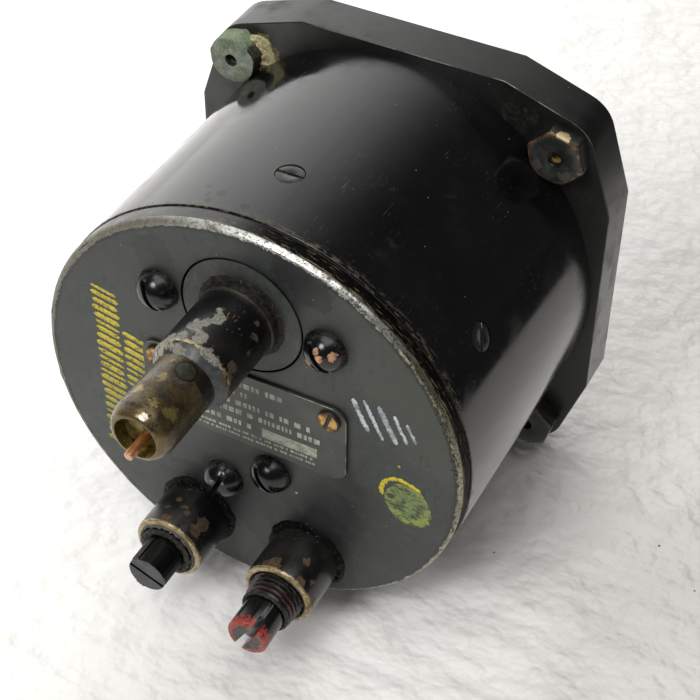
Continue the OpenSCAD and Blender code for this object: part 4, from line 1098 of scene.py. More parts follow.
class GAUGE_OT_stage(bpy.types.Operator):
    """Sets up the camera, the lamps, the room and the pale floor"""
    bl_idname = "gauge.stage"
    bl_label = "Stage"

    def execute(self, context):
        stage = context.scene.gauge_stage
        context.scene.view_settings.view_transform = "Standard"
        self.add_camera(context, stage)
        self.add_floor(stage)
        self.add_room(context, stage)
        self.add_lamp(context, "front_lamp", 80, 46, 1.2, 0.36, 15.0)
        self.add_lamp(context, "top_lamp", 150, 82, 1.7, 1.5, 2.5)
        return {"FINISHED"}

    def add_camera(self, context, stage):
        data = bpy.data.cameras.new("photo_camera")
        data.lens, data.sensor_width = stage.lens, 36
        data.clip_start, data.clip_end = 0.01, 20
        camera = bpy.data.objects.new("photo_camera", data)
        right = Vector((-0.884, -0.468, 0.006)).normalized()
        back = Vector((-0.33970, 0.64945, 0.68031)).normalized()
        up = back.cross(right).normalized()
        right = up.cross(back)
        turn = Matrix((right, up, back)).transposed().to_4x4()
        camera.matrix_world = Matrix.Translation(Vector((-107.69, 231.60, 200.57)) * MM) @ turn
        context.scene.collection.objects.link(camera)
        context.scene.camera = camera

    def add_floor(self, stage):
        """A pale lumpy painted floor, brighter to the eye on the window side by a painted glow that
        only the camera and reflections see, which is lowered round the gauge's foot as painted
        shadow.
        Its far corner is painted dark for reflections, a painted reflection of the dark room."""
        f = Finish("pale_floor")
        creases = f.noise(13, 3.0, 0.5, stretch=(1, 1.5, 1))
        lumps = f.noise(3.4, 2.0, 0.45, shift=3)
        base = f.layers(stage.floor, (f.noise(40, 4.0).step(0.35, 0.7) * 0.4, tone(212, 207, 202)),
                        (creases.step(0.58, 0.7) * 0.3, tone(196, 190, 182)),
                        (f.specks(9, 0.12, 0.04), tone(104, 92, 78)))
        path = f.node("ShaderNodeLightPath", out="Is Camera Ray")
        glossy = path.output("Is Glossy Ray")
        # Painted light: a glow for camera and glossy rays, stronger towards the window side.
        across = f.x * 0.966 - f.y * 0.259
        lit = (across.step(-72, -45) * 0.05 + across.step(-50, 40) * 0.28 + f.x.step(-10, 60) * 0.14
               + across.step(50, 110) * 0.12 + f.y.step(25, 70) * f.x.step(50, 10) * 0.12)
        # Painted shadow: the glow is lowered in an ellipse under the gauge, and a little painted
        # light is added beside it.
        edge = ((f.x / 37) ** 2 + ((f.y - 25) / 42) ** 2).step(1.2, 0.9)
        painted_light_beside = f.x.step(-17, -25) * f.x.step(-62, -48) * f.y.step(40, 50)
        lit = lit * (1 - edge * 0.8) + painted_light_beside * 0.1
        # Painted reflection: the far corner of the floor is dark to glossy rays only.
        far = (f.x * -0.77 - f.y * 0.64).step(150, 165) * f.x.step(-60, -100) * glossy
        base = f.layers(base, (far, tone(60, 60, 60)))
        seen = (lit * path.either(glossy) + glossy * 0.22) * (1 - far)
        glow = f.node("ShaderNodeVectorMath", {"operation": "SCALE"},
                      {0: (1.0, 1.0, 0.985), "Scale": seen})
        material = f.surface(base, 0.42 + (lumps - 0.5) * 0.3, 0.0, creases + lumps * 0.3, 3.4,
                             **{"Specular IOR Level": 0.4, "Emission Color": glow,
                                "Emission Strength": 1.0})
        mesh = bmesh.new()
        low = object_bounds()[0].z
        bmesh.ops.create_circle(mesh, cap_ends=True, segments=96, radius=0.62,
                                matrix=Matrix.Translation((0, 0, low - 0.00005)))
        floor = as_object("floor", mesh)
        floor.data.materials.append(material)
        floor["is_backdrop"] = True

    def add_room(self, context, stage):
        """A room bright on the window side and dark on the other, and white to the camera."""
        world = bpy.data.worlds.new("room")
        world.use_nodes = True
        world.node_tree.nodes.clear()
        context.scene.world = world
        n = Nodes(world.node_tree)
        way = n.node("ShaderNodeTexCoord", out="Generated")
        towards = n.node("ShaderNodeVectorMath", {"operation": "DOT_PRODUCT"},
                         {0: way, 1: self.aim(-45, 10)}, out="Value")
        window = towards.step(0.35, 1.0) ** 1.9
        path = n.node("ShaderNodeLightPath", out="Is Camera Ray")
        seen = path.either(path.output("Is Transmission Ray"))
        level = stage.dark + window * stage.window * (1 - path.output("Is Diffuse Ray") * 0.4)
        strength = seen * 0.9 + (1 - seen) * level
        shader = n.node("ShaderNodeBackground", None,
                        {"Color": (1.0, 0.995, 0.985, 1), "Strength": strength})
        n.node("ShaderNodeOutputWorld", None, {0: shader})

    @staticmethod
    def aim(azimuth, elevation):
        a, e = math.radians(azimuth), math.radians(elevation)
        return Vector((math.cos(a) * math.cos(e), math.sin(a) * math.cos(e), math.sin(e)))

    def add_lamp(self, context, name, azimuth, elevation, distance, size, glow):
        """A square soft lamp aimed at the gauge, with that radiance."""
        data = bpy.data.lights.new(name, "AREA")
        data.shape, data.size = "SQUARE", size
        data.energy = glow * math.pi * size * size
        lamp = bpy.data.objects.new(name, data)
        way = self.aim(azimuth, elevation)
        lamp.location = Vector((0, 0.035, 0)) + way * distance
        lamp.rotation_euler = way.to_track_quat("Z", "Y").to_euler()
        context.scene.collection.objects.link(lamp)


class GAUGE_OT_case(bpy.types.Operator):
    """Builds the moulded case and finishes the front ring, the glass and the gaskets"""
    bl_idname = "gauge.case"
    bl_label = "Case"

    def execute(self, context):
        case = context.scene.gauge_case
        shell = rounded(welded("case_shell"), case.edge, 3,
                        keep=lambda p: math.hypot(p.x, p.z) > 40.3 or p.y > 59)
        piece("case_body", shell, case_finish(case), "root", "case_gloss", "case_shell")
        repaint(plain("ring_steel", tone(96, 96, 94), tone(70, 70, 68), 0.35, 0.9, 3.0),
                "glass_retaining_ring")
        repaint(plain("gasket_rubber", tone(24, 24, 23), tone(34, 33, 31), 0.8, 0.0, 2.0, 0.02),
                "glass_gasket", "cover_gasket")
        repaint(self.glass(), "cover_glass")
        return {"FINISHED"}

    def glass(self):
        """Clear glass with a little dust, which lets the lamps through."""
        f = Finish("front_glass")
        dust = f.specks(2.4, 0.12, 0.05)
        shader = f.node("ShaderNodeBsdfPrincipled", None, {
            "Base Color": (1, 1, 1, 1), "Roughness": dust * 0.3, "IOR": 1.5,
            "Transmission Weight": 1.0})
        clear = f.node("ShaderNodeBsdfTransparent")
        path = f.node("ShaderNodeLightPath", out="Is Shadow Ray")
        mixed = f.node("ShaderNodeMixShader", None, {0: path, 1: shader, 2: clear})
        f.node("ShaderNodeOutputMaterial", None, {0: mixed})
        return f.material


class GAUGE_OT_mounting_nuts(bpy.types.Operator):
    """Builds the four corner nuts"""
    bl_idname = "gauge.mounting_nuts"
    bl_label = "Mounting Nuts"

    def execute(self, context):
        height, flat, hole, corner = 3.66, 4.7, 1.25, 4.5

        def across(angle):
            return flat / math.cos((angle + math.pi / 6) % (math.pi / 3) - math.pi / 6)

        def shoulder(angle):
            r = across(angle) - 0.02
            return r, height - max(0, r - corner) * 0.53
        bore = []
        turns = int((FLANGE_T + height - 0.8) / 0.79)
        for i in range(turns):
            low = -FLANGE_T + 0.4 + i * 0.79
            bore += [(hole, low), (hole - 0.25, low + 0.36), (hole - 0.25, low + 0.43)]
        profile = [(3.2, 0), (3.2, -FLANGE_T), (hole + 0.3, -FLANGE_T), *bore,
                   (hole - 0.1, height - 0.2), (hole, height), (corner, height), shoulder,
                   lambda a: (across(a) - 0.02, 0.02)]
        places = [(x, FLANGE_T, z, OUT, flat_way(15 if x * z > 0 else -15)) for x, z in MOUNTS]
        fasteners("corner_nuts", lathe(profile, 96), places,
                  nut_finish(context.scene.gauge_fittings), "root", "nut_metal", "mounting_nuts",
                  change=corroded)
        crust = crust_ring(4.4, 7.2, FLANGE_T - 0.2, FLANGE_T + 1.0, 5, True, (188, 58))
        piece("corner_crust", moved(crust, turned_out(*MOUNTS[0])),
              crust_finish("corner_crust", tone(202, 192, 150), tone(152, 142, 102),
                           tone(216, 210, 182)), "root", "nut_metal")
        return {"FINISHED"}


class GAUGE_OT_rear_cover(bpy.types.Operator):
    """Builds the rear cover with its worn rim"""
    bl_idname = "gauge.rear_cover"
    bl_label = "Rear Cover"

    def execute(self, context):
        piece("cover_body", rounded(welded("rear_cover"), 0.12 * MM, 2,
                                    keep=lambda p: math.hypot(p.x, p.z) > 38),
              cover_finish(context.scene.gauge_case), "root", "cover_paint", "rear_cover")
        return {"FINISHED"}


class GAUGE_OT_screws(bpy.types.Operator):
    """Builds the round-head cover screws, the side screws and the small brass screws"""
    bl_idname = "gauge.screws"
    bl_label = "Screws"

    def execute(self, context):
        black = screw_finish()
        dome = 3.867
        head = [(0, 3.5)] + [(dome * math.sin(a), 3.5 - dome + dome * math.cos(a))
                             for a in (math.radians(4 + 6.2 * i) for i in range(14))] + [(3.85, 0)]
        round_head = screw(head, 1.95, 8.0, 0.9, 1.6, 3.5)
        for name, places in (("upper", UPPER_SCREWS), ("lower", LOWER_SCREWS)):
            copy = round_head.copy()
            fasteners(f"{name}_round_head_screws", copy,
                      [(x, COVER_FACE, z, OUT, flat_way(a)) for x, z, a in places], black,
                      "root", "black_screw", f"{name}_cover_screws")
        round_head.free()
        side_head = [(0, 0), (1.6, -0.01), (2.3, -0.04), (2.46, -0.12), (2.46, -1.8)]
        places = []
        for angle in SIDE_ANGLES:
            out = flat_way(angle)
            around = flat_way(angle + 90)
            turn = math.radians(0 if angle == 90 else 42)
            slot = around * math.cos(turn) + OUT * math.sin(turn)
            seat = out * (BARREL_R - 0.08)
            places.append((seat.x, SIDE_SCREW_Y, seat.z, out, slot))
        flush = cut(lathe([(0, -6.4), (1.5, -6.4), (1.5, -1.8), *reversed(side_head)], 64),
                    box((30, 0.62, 0.7)))
        fasteners("side_screws", flush, places, side_screw_finish(), "root",
                  "black_screw", "case_side_screws")
        brass = self.brass(context.scene.gauge_fittings)
        small = screw([(0, 1), (1.1, 0.98), (1.7, 0.86), (2.0, 0.55), (2.05, 0.4), (2.05, 0)], 0.95,
                      3.0, 0.7, 0.55, 1.0, 0.5)
        fasteners("data_plate_screws", small,
                  [(x, PLATE_FACE, z, OUT, flat_way(a)) for x, z, a in PLATE_SCREWS], brass,
                  "root", "brass", "name_plate_screws")
        return {"FINISHED"}

    def brass(self, fit):
        f = Finish("screw_brass")
        wide = f.noise(1.3, 4.0, 0.6)
        top = f.y.step(64.45, 64.62)
        base = f.layers(tone(36, 30, 24), (top * wide.step(0.62, 0.42), fit.brass),
                        (top * wide.step(0.5, 0.6) * 0.7, tone(150, 96, 52)))
        return f.surface(base, 0.34 + wide * 0.2, top * 0.85, wide, 0.02)


class GAUGE_OT_data_plate(bpy.types.Operator):
    """Builds the data plate with its rows of plain dashes"""
    bl_idname = "gauge.data_plate"
    bl_label = "Data Plate"

    # Rows from their left end as seen from behind: x, z, length, dash height, longest dash
    ROWS = [(13.2, 8.1, 20.5, 1.1, 1.3), (13.2, 5.9, 14, 1.1, 1.2), (13.2, 3.7, 26, 1.1, 1.3),
            (13.2, 1.6, 27, 1.1, 1.2), (13.2, -0.9, 14.5, 1.1, 1.2), (12.6, -2.9, 26, 0.55, 0.7),
            (11, -3.95, 24, 0.5, 0.7)]
    PALE_BAR = (10.4, 2.1, 0.05)
    PALE_AT = (-8.7, -1.2)

    def execute(self, context):
        case = context.scene.gauge_case
        plate = rounded(welded("name_plate"), 0.12 * MM, 2,
                        keep=lambda p: math.hypot(abs(p.x) - 16.3, p.z - 7.9) > 1.6)
        piece("data_plate_body", plate, plate_finish(case), "root", "data_plate", "name_plate")
        finish = paint_finish("plate_marks", case.marks, tone(142, 144, 132), 0.6)
        marks = self.dashes(random.Random(context.scene.gauge_stage.seed), finish)
        pale = moved(box(self.PALE_BAR), turned_out(*self.PALE_AT, PLATE_FACE))
        piece("data_plate_marks", joined(marks, pale), finish, "root", "data_plate")
        return {"FINISHED"}

    def dashes(self, rng, finish):
        """Rows of small blocks: one tree puts a bar on each point, as long as the point says."""
        spots, sizes = [], []
        for x, z, run, height, longest in self.ROWS:
            at = 0.0
            while at < run:
                size = rng.uniform(0.3, 1) * longest
                spots.append(Vector((x - at - size / 2, PLATE_FACE, z)) * MM)
                sizes.append(Vector((size, 0.04, height)) * MM)
                at += size + (height * 0.3 if rng.random() < 0.75 else height)
        data = bpy.data.meshes.new("plate_dashes")
        data.from_pydata(spots, [], [])
        store = data.attributes.new("size", "FLOAT_VECTOR", "POINT")
        for i, size in enumerate(sizes):
            store.data[i].vector = size
        base = bpy.data.objects.new("plate_dashes", data)
        bpy.context.scene.collection.objects.link(base)
        tree = Shapes("Plate dashes", Thickness=("Float", 1.0))
        bar = tree.node("GeometryNodeMeshCube", None, {"Size": (1, 1, 1)})
        size = tree.node("GeometryNodeInputNamedAttribute", {"data_type": "FLOAT_VECTOR"},
                         {"Name": "size"})
        scale = tree.node("ShaderNodeVectorMath", {"operation": "MULTIPLY"}, {
            0: size, 1: tree.node("ShaderNodeCombineXYZ", None,
                                  {0: 1.0, 1: tree.given("Thickness"), 2: 1.0})})
        laid = tree.node("GeometryNodeInstanceOnPoints", None,
                         {"Points": tree.given("Geometry"), "Instance": bar, "Scale": scale})
        tree.end(laid, finish)
        return tree.grow(base)


class GAUGE_OT_paint_marks(bpy.types.Operator):
    """Lays plain paint strokes and dabs on the rear cover"""
    bl_idname = "gauge.paint_marks"
    bl_label = "Paint Marks"

    YELLOW_ROWS = [(26.5, 17.6, -19.5, 5.4), (21.4, 9.2, -2.6, 4.6)]  # x, first and last z, height
    WHITE_Z = 10.9
    WHITE_STROKES = [(-21.6, 6.2, 0.9), (-23.9, 7.4, 0.7), (-26.4, 7.0, 1.0), (-28.7, 5.2, 0.7),
                     (-30.6, 3.6, 0.6)]  # x, length, width

    def execute(self, context):
        marks = context.scene.gauge_marks
        thick = marks.thickness / MM
        rng = random.Random(context.scene.gauge_stage.seed + 1)
        rows = bmesh.new()
        for x, z_start, z_end, height in self.YELLOW_ROWS:
            self.row(rows, rng, x, z_start, z_end, height, thick)
        piece("yellow_paint_strokes", rows, self.yellow(marks), "root", "cover_paint")
        white = bmesh.new()
        for x, long, width in self.WHITE_STROKES:
            lean = long * 0.24
            stroke(white, [(x + lean, self.WHITE_Z + long / 2), (x + 0.15, self.WHITE_Z),
                           (x - lean, self.WHITE_Z - long / 2)], width, rng, 0.14, thick=thick)
        piece("white_paint_strokes", white,
              paint_finish("white_paint", marks.white, tone(150, 160, 168), 0.62), "root",
              "cover_paint")
        dab = bmesh.new()
        stroke(dab, [(-25.8, -5.4), (-25.5, -3.6), (-26.2, -1.8), (-27.6, -0.7), (-29.2, -0.4),
                     (-30.9, -0.8), (-32.6, -1.6)], 0.8, rng, 0.16, thick=thick * 1.8, ends=0.2)
        piece("yellow_paint_arc", dab,
              paint_finish("thick_yellow", marks.yellow, tone(206, 186, 40)), "root", "cover_paint")
        smear = bmesh.new()
        outline = [(-26.1, -6.4), (-27, -8.2), (-28.6, -9.8), (-30.4, -10.4), (-32.6, -10.2),
                   (-34.4, -8.9), (-34.8, -6.6), (-34.4, -4.4), (-33.3, -2.4), (-31.6, -0.9),
                   (-29.8, -0.9), (-27.8, -1.9), (-26.4, -4.0), (-26.1, -6.4)]
        edge = [p + Vector((rng.uniform(-0.16, 0.16), rng.uniform(-0.16, 0.16)))
                for p in softened(outline)[:-1]]
        for level in (COVER_FACE + thick * 0.6, COVER_FACE - 0.01):
            for p in edge:
                smear.verts.new(Vector((p.x, level, p.y)) * MM)
        top, low = smear.verts[:len(edge)], smear.verts[len(edge):]
        smear.faces.new(top)
        smear.faces.new(reversed(low))
        for i in range(len(edge)):
            j = (i + 1) % len(edge)
            smear.faces.new((top[i], low[i], low[j], top[j]))
        bmesh.ops.recalc_face_normals(smear, faces=smear.faces)
        piece("green_paint_smear", smear, self.smear(marks), "root", "cover_paint")
        return {"FINISHED"}

    def row(self, mesh, rng, x, z_start, z_end, height, thick):
        """An even row of separate slanted strokes, thick and thin, from the top down."""
        z = z_start
        while z > z_end:
            width = rng.choice((0.6, 0.95, 1.15))
            half = height / 2 * rng.uniform(0.85, 1)
            z -= width / 2
            stroke(mesh, [(x + half, z + 0.5), (x, z), (x - half, z - 0.5)], width, rng, 0.08,
                   thick=thick)
            z -= width / 2 + rng.uniform(0.6, 0.75)

    def yellow(self, marks):
        """Yellow paint that thins to green towards its lower end."""
        f = Finish("yellow_strokes")
        wide = f.noise(1.2, 5.0, 0.7)
        fine = f.noise(0.4, 5.0, 0.72)
        low = (f.z + (f.x - 24) * 1.2 + (wide - 0.5) * 16).step(4, -13)
        base = f.layers(marks.yellow, (wide.step(0.46, 0.6) * 0.7, tone(190, 176, 60)),
                        (low * 0.8, f.blend(fine.step(0.42, 0.6), tone(150, 158, 78),
                                            tone(98, 108, 70))),
                        (fine.step(0.53, 0.63) * 0.8, tone(74, 78, 60)))
        gone = fine * 0.6 + wide * 0.4
        return f.surface(base, 0.5, 0.0, fine, 0.03, Alpha=gone.step(0.585, 0.54))

    def smear(self, marks):
        """Thin green paint, streaky, partly brushed away, and brighter at its lower edge."""
        f = Finish("green_smear")
        streak = f.noise(1.3, 6.0, 0.78, stretch=(0.8, 1, 1.3))
        fine = f.noise(0.4, 5.0, 0.75, shift=4)
        far = f.radius((-30.4, -5.4))
        rim = (far + (streak - 0.5) * 5).step(2.6, 4.2)
        low = (f.z + f.x * 0.3).step(-15.0, -18.0)
        base = f.layers(marks.green, (streak.step(0.45, 0.6), tone(136, 152, 92)),
                        (rim * (0.35 + low * 0.5), tone(170, 182, 78)),
                        (fine.step(0.5, 0.6) * 0.8, tone(72, 84, 56)))
        gone = streak * 0.6 + fine * 0.4 + rim * 0.05 - (far - 3.6).either(0) * 0.07
        hole = f.near((-27.3, COVER_FACE, -4.9), 0.7, 1.6, 0.8)
        return f.surface(base, 0.5, 0.0, streak, 0.03, Alpha=gone.step(0.43, 0.5) * (1 - hole))


class GAUGE_OT_upper_fitting(bpy.types.Operator):
    """Builds the capillary fitting with its sleeve, pin and tube"""
    bl_idname = "gauge.upper_fitting"
    bl_label = "Upper Fitting"

    def execute(self, context):
        fit = context.scene.gauge_fittings
        body = welded("upper_fitting")
        for v in body.verts:
            spot = Vector((v.co.x - UPPER_AT[0] * MM, 0, v.co.z - UPPER_AT[1] * MM))
            if spot.length > 11 * MM:
                v.co += spot.normalized() * -0.22 * MM
        piece("fitting_body", rounded(body, 0.16 * MM, 3, keep=lambda p: p.y > 60),
              fitting_finish(fit), "root", "fitting_paint", "upper_fitting")
        foot = crust_ring(6.9, 7.9, COVER_FACE - 0.11, COVER_FACE + 0.55, 3, True)
        piece("fitting_foot_dirt", moved(foot, turned_out(*UPPER_AT)),
              crust_finish("fitting_dirt", tone(12, 11, 10), tone(32, 28, 24)), "root",
              "fitting_paint")
        sleeve = sleeve_finish(fit)
        piece("sleeve_body", rounded(welded("upper_sleeve"), 0.14 * MM, 3,
                                     keep=lambda p: abs(p.y - 82.1) > 2.5),
              sleeve, "root", "sleeve_brass", "upper_sleeve")
        piece("sleeve_pin_head", rounded(welded("sleeve_pin"), 0.08 * MM, 2),
              plain("pin_metal", tone(66, 66, 54), tone(44, 42, 33), 0.3, 0.4, 1.0), "root",
              "sleeve_brass", "sleeve_pin")
        repaint(plain("mouth_brass", tone(150, 134, 80), tone(84, 70, 40), 0.34, 0.6, 1.6, 0.01),
                "sleeve_plug")
        tube = lathe([(0, -53.1), (0.8, -53.1), (0.8, -0.5), (0.74, -0.15), (0.55, 0), (0, 0)], 40)
        moved(tube, turned_out(-0.85, 22, 96.6))
        piece("capillary", tube, self.copper(fit), "root", "copper", "capillary_tube")
        return {"FINISHED"}

    def copper(self, fit):
        f = Finish("capillary_copper")
        wide = f.noise(1.2, 5.0, 0.7, stretch=(1, 0.4, 1))
        tip = (f.y + (wide - 0.5) * 0.6).step(96.3, 96.55)
        base = f.layers(fit.copper, (wide.step(0.42, 0.6), tone(132, 86, 50)),
                        (tip * 0.7, tone(222, 186, 160)))
        return f.surface(base, 0.4 + (wide - 0.5) * 0.3, 0.5, wide, 0.02)


class GAUGE_OT_pressure_ports(bpy.types.Operator):
    """Builds the two pressure ports with their worn lips"""
    bl_idname = "gauge.pressure_ports"
    bl_label = "Pressure Ports"

    CHIPS = {
        "left": [(-10.3, 72.5, -21.7, 1.3), (-14.7, 69.1, -22.5, 0.75), (-15.5, 73.2, -23.1, 1.1),
                 (-16.9, 70.9, -24.7, 0.6), (-17.8, 73.9, -27.2, 1.6), (-8.6, 72.6, -22.2, 0.6)],
        "right": [(11.8, 67.7, -21.7, 0.5), (9.8, 68.7, -21.6, 0.7), (9, 69.6, -21.8, 0.6),
                  (12.6, 70.1, -21.9, 0.5), (11.4, 73, -21.6, 1.3), (6, 69.3, -23.6, 1.35),
                  (6.2, 71.4, -23.4, 1.1)]}

    def execute(self, context):
        fit = context.scene.gauge_fittings
        dark = crust_finish("port_dirt", tone(7, 7, 7), tone(18, 17, 16), metal=0.7)
        for side, at, high, tones in (
                ("left", LEFT_PORT, 73.95, (tone(17, 17, 16), tone(38, 37, 35))),
                ("right", RIGHT_PORT, 74.4, (tone(80, 80, 76), tone(112, 111, 104)))):
            piece(f"{side}_port_body", rounded(welded(f"{side}_port"), 0.14 * MM, 3,
                                               keep=lambda p: p.y > 60),
                  enamel_finish(f"{side}_port_enamel", fit, self.CHIPS[side], at), "root",
                  "fitting_paint", f"{side}_port")
            stand = turned_out(*at)
            seal = crust_ring(5.07, 5.62, 73.5, high, at[0])
            piece(f"{side}_port_sealant", moved(seal, stand),
                  crust_finish(f"{side}_sealant", *tones), "root", "fitting_paint")
            foot = crust_ring(6.45, 7.6, COVER_FACE - 0.11, COVER_FACE + 1.0, at[0] + 7, True)
            piece(f"{side}_port_foot_dirt", moved(foot, stand), dark, "root", "fitting_paint")
        return {"FINISHED"}


class GAUGE_OT_port_plugs(bpy.types.Operator):
    """Builds the threaded plugs and their washers"""
    bl_idname = "gauge.port_plugs"
    bl_label = "Port Plugs"

    # Side, axis, end of the thread, shank radius, outer end, slot width, depth and direction,
    # bevel of the end, outer radius of the washer
    PLUGS = [("left", LEFT_PORT, 77.7, 3.75, 84.3, 1.45, 2.8, 120, 0.35, 4.48),
             ("right", RIGHT_PORT, 74.25, 3.6, 80.7, 0.7, 1.0, 22, 0.1, 4.96)]
    THREAD_LEN = 8.4

    def execute(self, context):
        fit = context.scene.gauge_fittings
        grime = crust_finish("washer_grime", tone(34, 34, 32), tone(68, 66, 61))
        for side, at, start, shank_r, end, width, depth, way, bevel, washer_r in self.PLUGS:
            long = end - start
            core = [(0, -self.THREAD_LEN), (4.0, -self.THREAD_LEN), (4.45, -4.5), (4.08, -0.1),
                    (shank_r, 0), (shank_r, long - bevel), (shank_r - bevel, long), (0, long)]
            body = cut(lathe(core, 96), box((30, width, 2 * depth), (0, 0, long)))
            shaft = rounded(body, 0.07 * MM, 2)
            finish = plug_finish(f"{side}_plug_black", at, end, fit, side == "left")
            parts = [as_bmesh(shaft), self.thread(fit, finish, 0.09 if side == "left" else 0.0)]
            bpy.data.objects.remove(shaft)
            if side == "right":
                parts.append(self.ridges(shank_r, long))
            whole = moved(joined(*parts), turned_out(at[0], at[1], start, -way))
            piece(f"{side}_plug_body", whole, finish, f"{side}_plug_body", "plug_black",
                  f"{side}_plug", sharp=35)
            low, high = (c.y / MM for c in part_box(f"{side}_plug_washer"))
            washer = crust_ring(shank_r + 0.1, washer_r, low + 0.01, high, at[0] + 3)
            piece(f"{side}_washer", moved(washer, turned_out(*at)), grime,
                  f"{side}_washer_body", "washer_dark", f"{side}_plug_washer")
        return {"FINISHED"}

    def thread(self, fit, finish, narrowing):
        """A helical thread round Z below 0, which narrows over its last turns."""
        tree = Shapes("Pipe thread", Pitch=("Float", 0.94), Turns=("Float", 8.0),
                      Crest_radius=("Float", 5.0), Depth=("Float", 0.5),
                      Narrowing=("Float", 0.09), Steps_per_turn=("Int", 64))
        pitch, turns = tree.given("Pitch"), tree.given("Turns")
        depth, crest = tree.given("Depth"), tree.given("Crest radius")
        root = crest - depth
        spiral = tree.node("GeometryNodeCurveSpiral", None, {
            "Resolution": tree.given("Steps per turn"), "Rotations": turns, "Start Radius": root,
            "End Radius": root, "Height": pitch * turns})
        spiral = tree.node("GeometryNodeSetCurveNormal", {"mode": "Z_UP"}, {"Curve": spiral})
        profile = tree.node("GeometryNodeCurvePrimitiveQuadrilateral", {"mode": "TRAPEZOID"}, {
            "Bottom Width": pitch * 0.96, "Top Width": pitch * 0.14, "Height": depth * 2,
            "Offset": 0.0})
        quarter = tree.node("GeometryNodeTransform", None, {
            "Geometry": profile, "Rotation": (0, 0, math.radians(90))})
        swept = tree.node("GeometryNodeCurveToMesh", None, {
            "Curve": spiral, "Profile Curve": quarter, "Fill Caps": True})
        lowered = tree.node("GeometryNodeTransform", None, {
            "Geometry": swept, "Translation": tree.node(
                "ShaderNodeCombineXYZ", None, {2: pitch * turns * -1 - pitch * 0.45})})
        spot = tree.node("GeometryNodeInputPosition")
        height = tree.node("ShaderNodeSeparateXYZ", None, {0: spot}, out=2)
        shrink = (1 - (height / (4 * MM) + 1.0).either(0.0) * tree.given("Narrowing")).both(1.0)
        scale = tree.node("ShaderNodeCombineXYZ", None, {0: shrink, 1: shrink, 2: 1.0})
        narrowed = tree.node("GeometryNodeSetPosition", None, {
            "Geometry": lowered, "Position": tree.node(
                "ShaderNodeVectorMath", {"operation": "MULTIPLY"}, {0: spot, 1: scale})})
        tree.end(narrowed, finish)
        return tree.grow(bare("thread"), Pitch=fit.pitch, Depth=fit.thread_depth,
                         Crest_radius=5 * MM, Turns=7.6, Narrowing=narrowing)

    def ridges(self, shank_r, long):
        """Three groups of three fine ridges along the shank."""
        made = bmesh.new()
        for group in (56, 176, 296):
            for step in (-9, 0, 9):
                a = math.radians(22 - group - step)
                bar = lathe([(0, 0.9), (0.3, 0.9), (0.3, long - 0.05), (0, long - 0.05)], 12)
                moved(bar, Matrix.Translation(Vector((math.cos(a), math.sin(a), 0)) * shank_r * MM))
                made = joined(made, bar)
        return made


